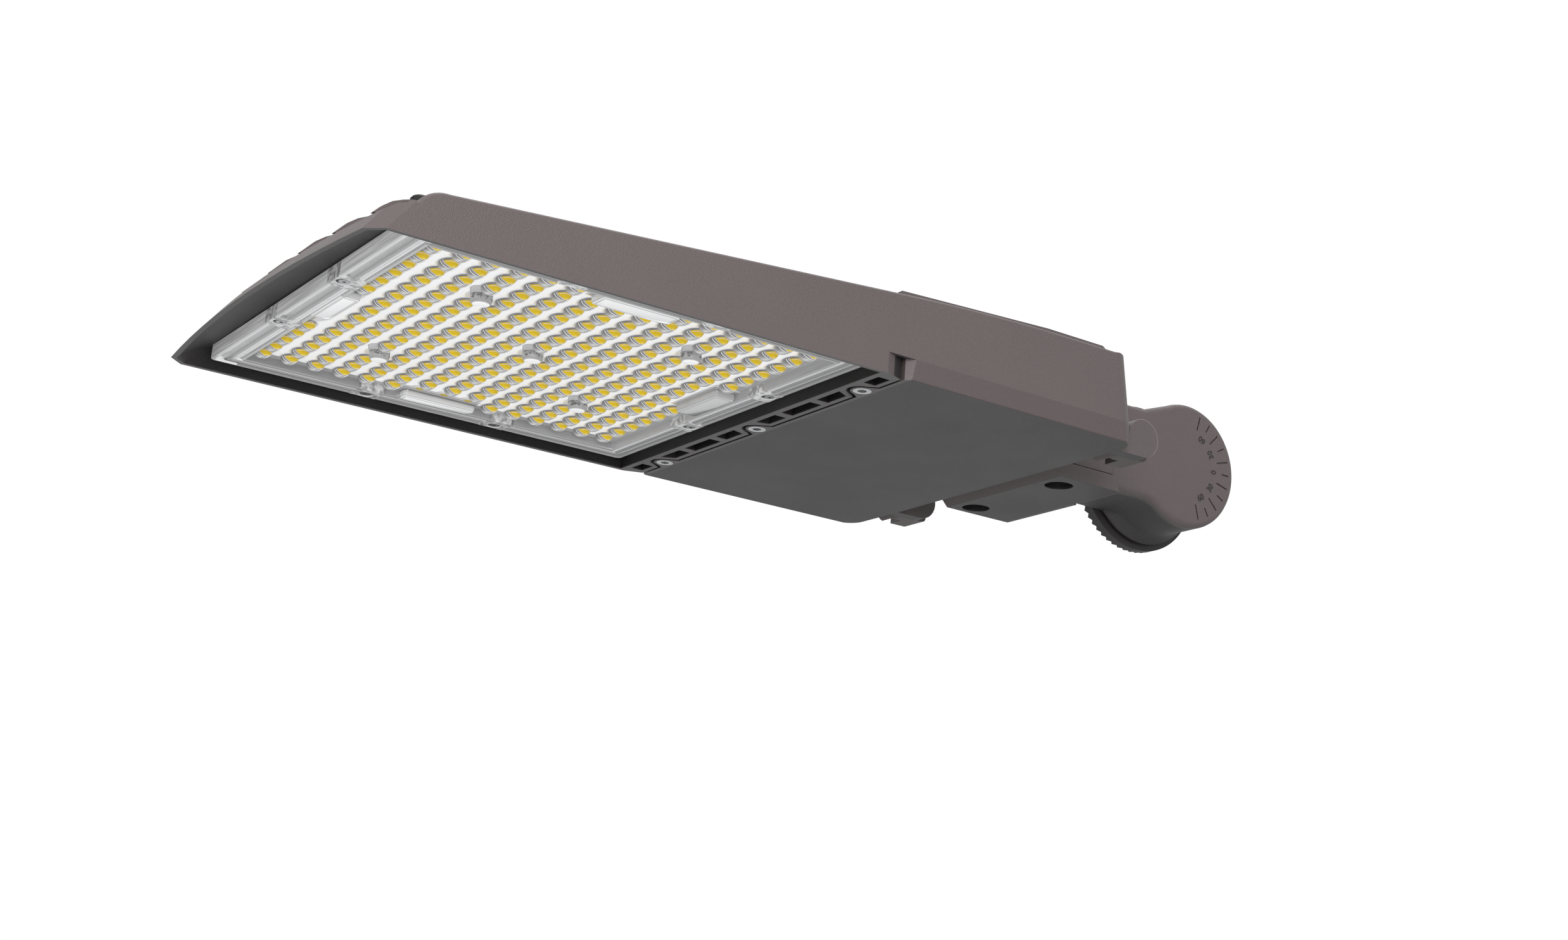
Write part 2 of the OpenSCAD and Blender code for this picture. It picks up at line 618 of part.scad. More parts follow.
// ---- driver bay contents ----
module driver_foot_plate(x0, x1, y0, y1) difference() {
    box([x0, y0, roof_boss_z - foot_t], [x1, y1, roof_boss_z]);
    for (p = concat(driver_feet, surge_feet)) translate([p[0], p[1], roof_boss_z - foot_t - cut])
        cylinder(d = 4.5, h = foot_t + 2 * cut);
}
module led_driver() color(steel) place() union() {
    box([driver_x, -driver_l / 2, driver_z],
        [driver_x + driver_w, driver_l / 2, driver_z + driver_h]);
    driver_foot_plate(driver_x, driver_x + driver_w,
        -driver_l / 2 - driver_foot_l, driver_l / 2 + driver_foot_l);
}
module cap_screw(p, z_head) translate([p[0], p[1], z_head - small_head_h]) union() {
    cylinder(d = small_head_d, h = small_head_h);
    cylinder(d = small_screw_d, h = small_head_h + foot_t + small_thread_l);
}
module driver_screws() color(steel) place() for (p = driver_feet)
    cap_screw(p, roof_boss_z - foot_t);
module surge_protector() color([0.1, 0.1, 0.11]) place() union() {
    translate(surge_at) cube([surge[0], surge[1], roof_boss_z - surge_at[2]]);
    driver_foot_plate(surge_at[0] + 8, surge_at[0] + surge[0] - 8,
        surge_at[1] - 12, surge_at[1] + surge[1] + 12);
}
module surge_screws() color(steel) place() for (p = surge_feet)
    cap_screw(p, roof_boss_z - foot_t);
module terminal_block() color(white) place() difference() {
    translate(block_at) cube([block[0], block[1], roof_boss_z - block_at[2]]);
    for (i = [0 : 2]) translate([block_at[0] + block[0] / 2, block_at[1] + 15 + i * 12,
        block_at[2] - cut]) cylinder(d = 4, h = 5);
    for (p = block_feet) translate([p[0], p[1], block_at[2] - cut]) cylinder(d = 4.5, h = 40);
}
module terminal_screws() color(steel) place() for (p = block_feet)
    translate([p[0], p[1], block_at[2] - 2]) union() {
        cylinder(d = 7, h = 2);
        cylinder(d = 4, h = roof_boss_z - block_at[2] + 2 + 7);
    }
module ground_screw() color([0.2, 0.5, 0.25]) place()
    translate([ground_at[0], ground_at[1], roof_boss_z - 3]) union() {
        cylinder(d = 8, h = 3, $fn = 6);
        cylinder(d = 4, h = 3 + 7);
    }
module output_lead() color(white) place() union() {
    bar_x(duct_x, driver_x, duct_y, duct_z, 2.5);
    translate([duct_x, duct_y, duct_z]) sphere(r = 2.5);
    translate([duct_x, duct_y, recess_z]) cylinder(r = 2.5, h = duct_z - recess_z);
}
module input_leads() color([0.15, 0.15, 0.15]) place() for (i = [0 : 2])
    bar_x(driver_x + driver_w, block_at[0], block_at[1] + 15 + i * 12, 42, 1.6);
module duct_grommet() color(rubber) place() difference() {
    union() {
        bar_x(bay_cavity_x - 5, bay_cavity_x, duct_y, duct_z, duct_r - eps);
        bar_x(bay_cavity_x, bay_cavity_x + 2, duct_y, duct_z, duct_r + 2);
    }
    bar_x(bay_cavity_x - 6, bay_cavity_x + 3, duct_y, duct_z, 2.5 + eps);
}
module arm_grommet() color(rubber) place() difference() {
    union() {
        bar_x(rear_x - 12, pad_x, arm_mid, wire_z, wire_hole_r - eps);
        bar_x(pad_x, pad_x + 1.2, arm_mid, wire_z, wire_hole_r + 1.5);
    }
    bar_x(rear_x - 15, pad_x + 3, arm_mid, wire_z, wire_hole_r - 2.5);
}

// ---- mount arm ----
module arm_gasket() color(rubber) place() difference() {
    box([pad_x, -arm_near + 2, bay_floor_z + 2], [arm_front_x, arm_far - 2, arm_h - 5.5]);
    box([pad_x - cut, -arm_near + rim_in, rim_z[0]],
        [arm_front_x + cut, arm_far - rim_in, rim_z[1]]);
}
// Side view of the arm with the disc, which flows into the box by a web above and a sweep below
arm_side = concat(
    [[arm_front_x, arm_bevel], [arm_front_x + arm_bevel, 0], [foot_end_x, 0],
     [foot_end_x + 1.5, belly_z], [foot_end_x + 25, belly_z]],
    [for (t = steps(0, 1, 5)) [foot_end_x + 25 + 16.5 * t, belly_z - 5.6 * t * t]],
    [[pivot_x, pivot_z - dial_r], [pivot_x, pivot_z + dial_r - eps]],
    [for (a = steps(92, 104, 3)) [pivot_x + dial_r * cos(a), pivot_z + dial_r * sin(a)]],
    [[pivot_x - 43.4, arm_h], [arm_front_x, arm_h]]);
neck_y = tooth_face_y - flange_t;
module well_boss(r, z0, z1) for (y = arm_bolt_y) translate([arm_bolt_x, y, z0])
    cylinder(r = r, h = z1 - z0);
// The knuckle's rim, its groove and the collar that flows out of the drum
module flange_body() translate([pivot_x, 0, pivot_z]) rotate([-90, 0, 0]) rotate_extrude()
    polygon(concat([[0, neck_y - 14]],
        [for (t = steps(0, 1, 5)) [dial_r - 0.3 + 5 * t * t, neck_y - 14 + 10.5 * t]],
        [[dial_r + 4.7, neck_y - 1.5], [dial_r + 1.2, neck_y - 1.5], [dial_r + 1.2, neck_y + 2.4],
         [flange_r, neck_y + 2.4], [flange_r, tooth_face_y], [0, tooth_face_y]]));
module mount_arm() color(bronze) place() difference() {
    union() {
        difference() {
            union() {
                along_y(-arm_near, neck_y) polygon(arm_side);
                along_y(neck_y - cut, arm_far) polygon([[arm_front_x, arm_bevel],
                    [arm_front_x + arm_bevel, 0], [box_end_x, 0], [box_end_x, arm_h],
                    [arm_front_x, arm_h]]);
                bar_y(pivot_x, pivot_z, dial_r, -arm_near, neck_y);
                flange_body();
            }
            // Room for the wires in the box, its open front, and the way through the neck
            box([arm_front_x + 4, -arm_near + arm_wall, arm_wall + 7],
                [box_end_x - arm_wall, arm_far - arm_wall, arm_h - arm_wall]);
            box([arm_front_x + arm_bevel, -arm_near + arm_wall, arm_wall],
                [box_end_x - arm_wall, arm_far - arm_wall, arm_h - arm_wall]);
            box([arm_front_x - cut, -arm_near + rim_in, rim_z[0]],
                [arm_front_x + 5, arm_far - rim_in, rim_z[1]]);
            box([box_end_x - arm_wall - cut, -arm_near + arm_wall + 6, 20],
                [way_x + wire_way_d / 2, neck_y - 3, 50]);
        }
        // Thick bosses round the wells that carry the arm on its bolts
        well_boss(arm_well_d / 2 + 2.5, 3, tongue_z);
        intersection() {
            for (i = [0 : teeth - 1]) translate([pivot_x, tooth_face_y, pivot_z])
                rotate([0, i * 360 / teeth, 0]) knuckle_tooth();
            bar_y(pivot_x, pivot_z, flange_r, tooth_face_y - cut, tooth_face_y + 5);
        }
    }
    well_boss(arm_well_d / 2, -cut, well_h);
    well_boss(arm_bolt_d / 2 + 0.5, well_h - cut, tongue_z + cut);
    bar_y(way_x, pivot_z, wire_way_d / 2, neck_y - 5, tooth_face_y + 5);
    bar_y(pivot_x, pivot_z, knuckle_bolt_d / 2, -arm_near + arm_wall, tooth_face_y + 5);
    // Pocket and window of the side cover
    box([cover_x[0] - cover_gap, -arm_near - cut, cover_z[0] - cover_gap],
        [cover_x[1] + cover_gap, -arm_near + cover_t, cover_z[1] + cover_gap]);
    box([cover_x[0] + 4, -arm_near - cut, cover_z[0] + 4],
        [cover_x[1] - 4, -arm_near + arm_wall + cut, cover_z[1] - 4]);
    dial_marks();
}
way_x = pivot_x - 24;
module knuckle_tooth() {
    w = 2 * flange_r * sin(180 / teeth);
    rotate([0, 90, 0]) translate([0, 0, flange_r - 13]) linear_extrude(height = 14)
        polygon([[-w * 0.46, -0.5], [-w * 0.46, 0], [0, tooth_h], [w * 0.46, 0], [w * 0.46, -0.5]]);
}
// Graduations every 15 degrees, long ones between the numbered ones
module dial_marks() for (k = [-5 : 5]) {
    r_in = k % 2 == 0 ? 33.2 : 29;
    translate([pivot_x, -arm_near, pivot_z]) rotate([0, -k * 15, 0])
        box([r_in, -cut, -0.55], [40, 0.5, 0.55]);
}
module arm_bolts() color(steel) place() for (y = arm_bolt_y)
    translate([arm_bolt_x, y, well_h - arm_washer_t]) difference() {
        union() {
            translate([0, 0, 1 - arm_bolt_d]) cylinder(d = arm_head_d, h = arm_bolt_d - 1);
            cylinder(d = arm_bolt_d, h = shelf_t + arm_washer_t + tongue_h - 4);
        }
        translate([0, 0, -arm_bolt_d]) cylinder(d = 8 / cos(30), h = 5, $fn = 6);
    }
module arm_washers() color(steel) place() for (y = arm_bolt_y)
    translate([arm_bolt_x, y, well_h - arm_washer_t]) difference() {
        cylinder(d = arm_washer_d, h = arm_washer_t);
        translate([0, 0, -cut]) cylinder(d = arm_bolt_d + 0.4, h = arm_washer_t + 2 * cut);
    }
module arm_side_cover() color(bronze) place()
    box([cover_x[0], -arm_near, cover_z[0]], [cover_x[1], -arm_near + cover_t, cover_z[1]]);

housing();
vent_plug();
led_board();
led_chips();
lens_gasket();
lens_plate();
lens_screws();
door();
door_gasket();
door_screw_near();
door_screw_middle();
door_screw_far();
captive_rings();
hinge_pins();
led_driver();
driver_screws();
surge_protector();
surge_screws();
terminal_block();
terminal_screws();
ground_screw();
output_lead();
input_leads();
duct_grommet();
arm_grommet();
arm_gasket();
mount_arm();
arm_bolts();
arm_washers();
arm_side_cover();
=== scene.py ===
import math

import bmesh
import bpy
import numpy as np
from mathutils import Matrix, Vector


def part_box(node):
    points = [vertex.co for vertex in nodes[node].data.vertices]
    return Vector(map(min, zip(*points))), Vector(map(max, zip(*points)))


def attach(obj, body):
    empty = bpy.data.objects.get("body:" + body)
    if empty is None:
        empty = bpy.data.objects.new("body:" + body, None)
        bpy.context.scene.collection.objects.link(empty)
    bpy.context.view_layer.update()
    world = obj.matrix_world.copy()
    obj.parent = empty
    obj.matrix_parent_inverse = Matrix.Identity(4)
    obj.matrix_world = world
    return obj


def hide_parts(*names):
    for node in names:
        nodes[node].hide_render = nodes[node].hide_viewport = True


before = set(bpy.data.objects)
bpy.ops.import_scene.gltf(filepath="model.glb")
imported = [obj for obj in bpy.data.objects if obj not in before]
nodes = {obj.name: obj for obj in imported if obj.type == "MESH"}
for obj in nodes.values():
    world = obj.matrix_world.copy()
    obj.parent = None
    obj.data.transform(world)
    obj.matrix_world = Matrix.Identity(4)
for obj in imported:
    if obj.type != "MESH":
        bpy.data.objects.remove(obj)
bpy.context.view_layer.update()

MM = 0.001

# ---- Camera, light and floor ----
# A 50 mm lens below the near side of the light, as the photograph looks up at it: its place and
# turn were solved from the rows of LEDs. The light hangs from its knuckle, so the pale floor lies
# well below, and the world behind is plain white.
camera = bpy.data.objects.new("camera", bpy.data.cameras.new("camera"))
camera.data.lens = 50
camera.data.sensor_width = 36
camera_right = Vector((0.8242, -0.5621, 0.0697))
camera_up = Vector((-0.2074, -0.1850, 0.9606))
camera_back = Vector((-0.5270, -0.8061, -0.2691))
camera_place = Vector((-1.07437, -1.16735, -0.44904))
camera.matrix_world = Matrix.Translation(camera_place) @ Matrix(
    (camera_right, camera_up, camera_back)).transposed().to_4x4()
bpy.context.scene.collection.objects.link(camera)
bpy.context.scene.camera = camera
bpy.context.scene.view_settings.view_transform = "Standard"


class Value:
    """A socket of a node tree, or a number, that adds Math nodes when it is used in an expression."""

    def __init__(self, tree, socket):
        self.tree = tree
        self.socket = socket

    def math(self, operation, *others):
        return self.tree.node("ShaderNodeMath", {"operation": operation}, self, *others)

    def __add__(self, other):
        return self.math("ADD", other)

    def __radd__(self, other):
        return self.math("ADD", other)

    def __sub__(self, other):
        return self.math("SUBTRACT", other)

    def __rsub__(self, other):
        return self.math("MULTIPLY", -1).math("ADD", other)

    def __mul__(self, other):
        return self.math("MULTIPLY", other)

    def __rmul__(self, other):
        return self.math("MULTIPLY", other)

    def hypot(self, other):
        """The square root of the sum of both squares."""
        return (self * self + other * other).math("SQRT")

    def rises(self, low, high):
        """0 below low, 1 above high, and a smooth step between them."""
        smooth = {"interpolation_type": "SMOOTHSTEP"}
        return self.tree.node("ShaderNodeMapRange", smooth, self, low, high)

    def band(self, low, high, soft):
        """1 between low and high, with soft edges."""
        return self.rises(low - soft, low + soft) * (1 - self.rises(high - soft, high + soft))


class Finish:
    """A material with one Principled surface, whose nodes are added by node()."""

    def __init__(self, name, colour, roughness, **surface):
        self.material = bpy.data.materials.new(name)
        self.material.use_nodes = True
        self.nodes = self.material.node_tree.nodes
        self.links = self.material.node_tree.links
        self.shader = self.nodes["Principled BSDF"]
        self.shader.inputs["Base Color"].default_value = (*colour, 1)
        self.shader.inputs["Roughness"].default_value = roughness
        for socket, value in surface.items():
            self.shader.inputs[socket.replace("_", " ")].default_value = value

    def node(self, kind, settings, *values, out=0, **named):
        """Adds a node: its settings first, then its sockets in order or by name."""
        made = self.nodes.new(kind)
        for key, value in settings.items():
            if key == "stops":
                ramp = made.color_ramp.elements
                while len(ramp) < len(value):
                    ramp.new(0.5)
                for stop, (place, colour) in zip(ramp, value):
                    stop.position = place
                    stop.color = (*colour, 1)
            else:
                setattr(made, key, value)
        sockets = [s for s in made.inputs if s.enabled]
        pairs = list(zip(sockets, values))
        pairs += [(made.inputs[name.replace("_", " ")], value) for name, value in named.items()]
        for socket, value in pairs:
            self.put(socket, value)
        if isinstance(out, str):
            return Value(self, made.outputs[out])
        return Value(self, [s for s in made.outputs if s.enabled][out])

    def put(self, socket, value):
        """Links a value's socket to the socket, or sets a plain number or colour on it."""
        if isinstance(value, Value):
            self.links.new(value.socket, socket)
        elif isinstance(value, (tuple, list)) and len(value) == 3 and socket.type == "RGBA":
            socket.default_value = (*value, 1)
        else:
            socket.default_value = value

    def place(self):
        """The point on the object, in metres, as one vector."""
        return self.node("ShaderNodeTexCoord", {}, out="Object")

    def axes(self):
        """X, Y and Z of the point on the object."""
        split = self.node("ShaderNodeSeparateXYZ", {}, self.place())
        parts = split.socket.node.outputs
        return [Value(self, parts[axis]) for axis in ("X", "Y", "Z")]

    def noise(self, scale, detail=2, roughness=0.5, where=None):
        """Cloudy noise about 0.5, with scale blots to the metre."""
        return self.node("ShaderNodeTexNoise", {}, Vector=where or self.place(), Scale=scale,
            Detail=detail, Roughness=roughness)

    def mix(self, share, first, second):
        """The second colour where share is 1, and the first where it is 0."""
        made = self.node("ShaderNodeMix", {"data_type": "RGBA"})
        inputs = made.socket.node.inputs
        for name, value in (("Factor_Float", share), ("A_Color", first), ("B_Color", second)):
            socket = next(s for s in inputs if s.identifier == name)
            self.put(socket, value)
        return Value(self, next(s for s in made.socket.node.outputs if s.identifier == "Result_Color"))

    def colour(self, value):
        self.put(self.shader.inputs["Base Color"], value)

    def feed(self, socket, value):
        self.put(self.shader.inputs[socket], value)

    def bump(self, height, depth, strength=1):
        """Raises the surface by height times depth, in metres."""
        raised = self.node("ShaderNodeBump", {}, Strength=strength, Distance=depth, Height=height)
        self.feed("Normal", raised)


# Plain white all round for what the camera and reflections see, and softer light on the object.
world = bpy.data.worlds.new("studio")
bpy.context.scene.world = world
world.use_nodes = True
background = world.node_tree.nodes["Background"]
light_level = 0.6
rays = world.node_tree.nodes.new("ShaderNodeLightPath")
seen = None
for kind in ("Is Camera Ray", "Is Glossy Ray", "Is Transmission Ray"):
    if seen is None:
        seen = rays.outputs[kind]
        continue
    either = world.node_tree.nodes.new("ShaderNodeMath")
    either.operation = "MAXIMUM"
    world.node_tree.links.new(seen, either.inputs[0])
    world.node_tree.links.new(rays.outputs[kind], either.inputs[1])
    seen = either.outputs[0]
level = world.node_tree.nodes.new("ShaderNodeMapRange")
level.inputs["To Min"].default_value = light_level
level.inputs["To Max"].default_value = 1
world.node_tree.links.new(seen, level.inputs["Value"])
world.node_tree.links.new(level.outputs[0], background.inputs["Strength"])
background.inputs["Color"].default_value = (1, 1, 1, 1)


def softbox(name, place, target, size, watts, colour):
    """A square area lamp at its place, turned to face the target."""
    lamp = bpy.data.lights.new(name, "AREA")
    lamp.color = colour
    lamp.shape = "SQUARE"
    lamp.size = size
    lamp.energy = watts
    made = bpy.data.objects.new(name, lamp)
    made.location = place
    made.rotation_euler = (Vector(target) - Vector(place)).to_track_quat("-Z", "Y").to_euler()
    bpy.context.scene.collection.objects.link(made)


lit_point = (-0.35, 0, 0)
softbox("near_softbox", (-1.5, -2.4, 0.5), lit_point, 1.8, 95, (1, 0.93, 0.93))
softbox("front_softbox", (-2.7, -0.7, 0.6), lit_point, 1.0, 20, (1, 0.96, 0.96))
softbox("top_softbox", (0.2, 0.4, 2.4), lit_point, 1.6, 30, (1, 1, 1))

floor_z = -0.9
floor_size = 14
floor_mesh = bpy.data.meshes.new("floor")
edge = floor_size / 2
corners = [(-edge, -edge, floor_z), (edge, -edge, floor_z), (edge, edge, floor_z), (-edge, edge, floor_z)]
floor_mesh.from_pydata(corners, [], [(0, 1, 2, 3)])
floor = bpy.data.objects.new("floor", floor_mesh)
bpy.context.scene.collection.objects.link(floor)
floor_mesh.materials.append(Finish("pale_floor", (0.6, 0.62, 0.62), 0.9).material)


def powder_coat(name, colour):
    """Dark powder coat: a fine pebbled skin, faint cloudy tone, and a soft sheen that varies."""
    paint = Finish(name, colour, 0.5, Specular_IOR_Level=0.4)
    clouds = paint.noise(14, 3)
    specks = paint.noise(1100, 1)
    tone = (clouds - 0.5) * 0.5 + (specks - 0.5) * 0.25 + 0.5
    paint.colour(paint.mix(tone, tuple(c * 0.84 for c in colour), tuple(c * 1.16 for c in colour)))
    paint.feed("Roughness", clouds * 0.16 + 0.42)
    pebbles = paint.noise(1500, 2, 0.6)
    paint.bump(pebbles, 0.0005, 0.7)
    return paint


def repaint(paint, share, colour):
    """Puts another colour over the paint where share is 1."""
    under = paint.shader.inputs["Base Color"].links[0].from_socket
    paint.colour(paint.mix(share, Value(paint, under), colour))


bronze = (0.068, 0.056, 0.056)
lit_underside_bronze = (0.088, 0.084, 0.084)
lip_grey = (0.05, 0.047, 0.047)
shadow_black = (0.007, 0.0062, 0.0064)
housing_low, housing_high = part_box("housing")
board_low, board_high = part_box("led_board")
field_centre = (board_low + board_high) / 2
# The frame's origin, in mm from the middle of the LED field at the level of the body's underside
pivot = Vector((-field_centre.x, -field_centre.y, -housing_low.z)) / MM


def rounded(node, name, rounds, smooth_angle=30, settled=None):
    """A copy of a CAD node's mesh, merged, with the convex edges that each rule picks rounded off.
    A round is its width, its steps, the angle an edge has to pass and its rule, which says which
    points lie on the edge; settled gives a point's new height. Points are in mm, as the pivot is."""
    shape = bmesh.new()
    shape.from_mesh(nodes[node].data)
    bmesh.ops.remove_doubles(shape, verts=shape.verts, dist=5e-6)
    bmesh.ops.dissolve_limit(shape, angle_limit=math.radians(0.4), use_dissolve_boundaries=False,
        verts=shape.verts, edges=shape.edges)
    for width, steps, sharpest, rule in rounds:
        places = {v: v.co / MM + pivot for v in shape.verts}
        edges = [e for e in shape.edges if e.is_manifold
            and math.degrees(e.calc_face_angle_signed(0)) > sharpest
            and all(rule(*places[v]) for v in e.verts)]
        bmesh.ops.bevel(shape, geom=edges, offset=width * MM, offset_type="OFFSET", segments=steps,
            profile=0.5, affect="EDGES", clamp_overlap=False, loop_slide=False)
    if settled:
        for vert in shape.verts:
            vert.co.z = (settled(*(vert.co / MM + pivot)) - pivot.z) * MM
    mesh = bpy.data.meshes.new(name)
    shape.to_mesh(mesh)
    shape.free()
    mesh.polygons.foreach_set("use_smooth", [True] * len(mesh.polygons))
    mesh.set_sharp_from_angle(angle=math.radians(smooth_angle))
    piece = bpy.data.objects.new(name, mesh)
    bpy.context.scene.collection.objects.link(piece)
    evened = piece.modifiers.new("even_normals", "WEIGHTED_NORMAL")
    evened.keep_sharp = True
    evened.weight = 60
    return piece


def finish_piece(piece, finish, body, slot, *replaced):
    """Gives a piece its material and body, and hides the CAD nodes that it stands for; the slot is not
    used.
    """
    piece.data.materials.clear()
    piece.data.materials.append(finish.material)
    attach(piece, body)
    if replaced:
        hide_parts(*replaced)
    return piece


# The body's shape, in mm: its nose is bowed and raked, and its ribs start behind the nose.
half_width = (housing_high.y - housing_low.y) / 2 / MM
nose_tip = -housing_low.x / MM - pivot.x
skirt_t = 3
bow_r = 1292
rake = 1.32
side_rise_z = 19.9
side_front_x = -165
rib_start = 11
rib_start_z = 14.5
rib_run = 1.02
channel_z = 18.6
rib_front_end_x = -140
ribs_half_width = 150


def on_long_edge(x, y, z):
    """The upper edge of each side, behind the nose's corner."""
    return abs(abs(y) - half_width) < 0.15 and z > side_rise_z and x > side_front_x


def low_ribs(x, y, z):
    """The ribs' fronts drawn halfway to a slope that starts behind the nose: the nose is bowed, so
    it falls back by the square of y over twice the bow's radius."""
    behind = x + nose_tip - y * y / (2 * bow_r)
    over = z - rib_start_z - (behind - rib_start) / rib_run
    on_front = z > channel_z and x < rib_front_end_x and abs(y) < ribs_half_width
    return z - over / 2 if over > 0 and on_front else z


housing_paint = powder_coat("housing_powder_coat", bronze)
housing_casting = rounded("housing", "housing_casting", [(2.2, 3, 20, on_long_edge)], settled=low_ribs)
finish_piece(housing_casting, housing_paint, "fixture", "bronze_paint", "housing")

# The recess, the slots and the hollow of the nose are masked off and painted nearly black as shade, a
# little paler towards the nose's lip. The lip and the web's flat face are painted lighter, as light that
# they catch from the front. The flat facets that cut the nose's corners lie outside the hollow: each is a
# plane, given by the way it faces and how far it lies from the nose's lowest point.
door_low, door_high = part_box("door")
web_end = door_low.x + 18 * MM
inner_wall = (half_width - skirt_t) * MM
facet_way = Vector((-0.6233, 0.6233, 0.4722))
facet_off = 87.92 * MM
x, y, z = housing_paint.axes()
middle_y = (housing_low.y + housing_high.y) / 2
off_middle = (y - middle_y).math("ABSOLUTE")
behind_tip = x - housing_low.x
above = z - housing_low.z
bow = (off_middle * off_middle) * (1 / (2 * bow_r * MM))
from_nose = behind_tip - bow - above * (1 / rake)
under_facet = facet_off - behind_tip * facet_way.x - off_middle * facet_way.y - above * facet_way.z
inside = (from_nose.rises(1.6 * MM, 2 * MM) * under_facet.rises(0.4 * MM, 0.7 * MM)
    * (1 - off_middle.rises(inner_wall + 0.1 * MM, inner_wall + 0.4 * MM))
    * above.rises(0.3 * MM, 0.6 * MM)
    * (1 - z.rises(board_high.z + 0.4 * MM, board_high.z + 0.6 * MM))
    * (1 - x.rises(web_end, web_end + 0.2 * MM)))
# The housing's flat underside is painted lighter, as light that it catches from the front.
underside = 1 - above.rises(0.05 * MM, 0.15 * MM)
repaint(housing_paint, underside, lit_underside_bronze)
# The hollow's colour is painted shade: nearly black, paler towards the lip.
hollow = housing_paint.mix(from_nose.rises(2 * MM, 30 * MM), lip_grey, shadow_black)
repaint(housing_paint, inside, hollow)


def dress(finish, *names):
    """Gives CAD nodes that keep their shape a finish in all their material slots."""
    for name in names:
        mesh = nodes[name].data
        mesh.materials.clear()
        mesh.materials.append(finish.material)


# ---- Breather plug ----
# A moulded plug that lets the body breathe. It is black nylon with a fine grain, and is pressed
# into its hole in the channel between the outer rib and the side.
plug_plastic = Finish("plug_plastic", (0.01, 0.01, 0.0105), 0.5, Specular_IOR_Level=0.12)
plug_grain = plug_plastic.noise(700, 2)
plug_plastic.feed("Roughness", plug_grain * 0.3 + 0.3)
plug_plastic.bump(plug_grain, 0.0002, 0.2)
dress(plug_plastic, "vent_plug")

# ---- LED board and chips ----
# An aluminium board with white solder mask lies on the recess, held down by the lens screws. Rows
# of LEDs are soldered to it, each a small square of yellow phosphor.
board_white = Finish("white_solder_mask", (0.86, 0.86, 0.85), 0.4)
board_cloud = board_white.noise(30, 2)
board_white.colour(board_white.mix(board_cloud, (0.82, 0.82, 0.82), (0.9, 0.9, 0.89)))
# A faint glow in the board's own white is painted light that brightens it.
board_white.feed("Emission Color", board_white.mix(board_cloud, (0.9, 0.9, 0.9), (1, 1, 1)))
board_white.shader.inputs["Emission Strength"].default_value = 0.1
dress(board_white, "led_board")

chip_yellow = Finish("phosphor", (0.66, 0.48, 0.03), 0.3)
chip_cloud = chip_yellow.noise(900, 2)
chip_yellow.colour(chip_yellow.mix(chip_cloud, (0.6, 0.43, 0.02), (0.72, 0.54, 0.06)))
dress(chip_yellow, "led_chips")

# ---- Lens gasket ----
# A black silicone ring between the clear plate and the recess, pressed tight by the lens screws.
# The door's and the arm's gaskets and the grommets are of the same silicone.
silicone = Finish("black_silicone", (0.018, 0.018, 0.018), 0.6)
silicone_grain = silicone.noise(500, 2)
silicone.feed("Roughness", silicone_grain * 0.25 + 0.5)
dress(silicone, "lens_gasket", "door_gasket", "arm_gasket", "duct_grommet", "arm_grommet")

# ---- Lens plate ----
# One clear moulding: a frame of rails round a thinner field, a long dome over each LED, cups for the
# screws, and raised pads. It is injection moulded and held by screws through its cups and frame.
plate_low, plate_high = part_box("lens_plate")
plate_centre = (plate_low + plate_high) / 2
plate_half = (plate_high - plate_low) / 2
led_pitch = 18 * MM
led_count = 15
last_led = led_count - 1
field_half = 136 * MM
frame_z = plate_low.z
sheet_rise = 5.5
field_z = frame_z + sheet_rise * MM


def mesh_piece(name, points, faces, smooth=True, sharp=None):
    """A new piece from an array of points and a list of polygons, with its normals outward."""
    mesh = bpy.data.meshes.new(name)
    mesh.from_pydata(np.reshape(points, (-1, 3)).tolist(), [], [list(map(int, face)) for face in faces])
    shape = bmesh.new()
    shape.from_mesh(mesh)
    bmesh.ops.remove_doubles(shape, verts=shape.verts, dist=1e-6)
    bmesh.ops.recalc_face_normals(shape, faces=shape.faces)
    shape.to_mesh(mesh)
    shape.free()
    mesh.polygons.foreach_set("use_smooth", [smooth] * len(mesh.polygons))
    if sharp:
        mesh.set_sharp_from_angle(angle=math.radians(sharp))
    piece = bpy.data.objects.new(name, mesh)
    bpy.context.scene.collection.objects.link(piece)
    return piece


def tube(rings):
    """Quads between rings of points, each ring closed, with a polygon over the first and last."""
    count, around = rings.shape[:2]
    row = np.arange(count - 1)[:, None] * around
    here = np.arange(around)[None, :]
    beside = (here + 1) % around
    quads = np.stack([row + here, row + beside, row + around + beside, row + around + here], -1)
    ends = [list(range(around))[::-1], list(range((count - 1) * around, count * around))]
    return quads.reshape(-1, 4).tolist() + ends


def gathered(shapes):
    """Points and polygons of many tubes as one mesh's."""
    points, faces, used = [], [], 0
    for rings in shapes:
        points.append(rings.reshape(-1, 3))
        faces += [[used + corner for corner in face] for face in tube(rings)]
        used += len(points[-1])
    return np.concatenate(points), faces


def clear_plastic(name, roughness, **surface):
    """Clear moulded plastic over the bright board: pale and glossy, with faint flow marks. The
    light that comes up through it from the board is a weak glow in its own colour."""
    made = Finish(name, (0.6, 0.6, 0.6), roughness, Emission_Strength=0.2, **surface)
    flow = made.noise(60, 2)
    made.feed("Roughness", flow * 0.06 + roughness)
    return made


def show(finish, colour):
    """Paints a clear plastic, and lets its glow have the same colour."""
    finish.colour(colour)
    finish.feed("Emission Color", colour)


def grey(level):
    """A grey of that level, a little cool as clear plastic is."""
    return (level, level, level * 1.01)


def grey_ramp(finish, value, tones):
    """Grey by the value: each tone is a value and the level of grey there, with an even change from
    one to the next. The first and last tones carry on past the ends."""
    start, end = tones[0][0], tones[-1][0]
    stops = [((at - start) / (end - start), grey(level)) for at, level in tones]
    return finish.node("ShaderNodeValToRGB", {"stops": stops}, (value - start) * (1 / (end - start)))


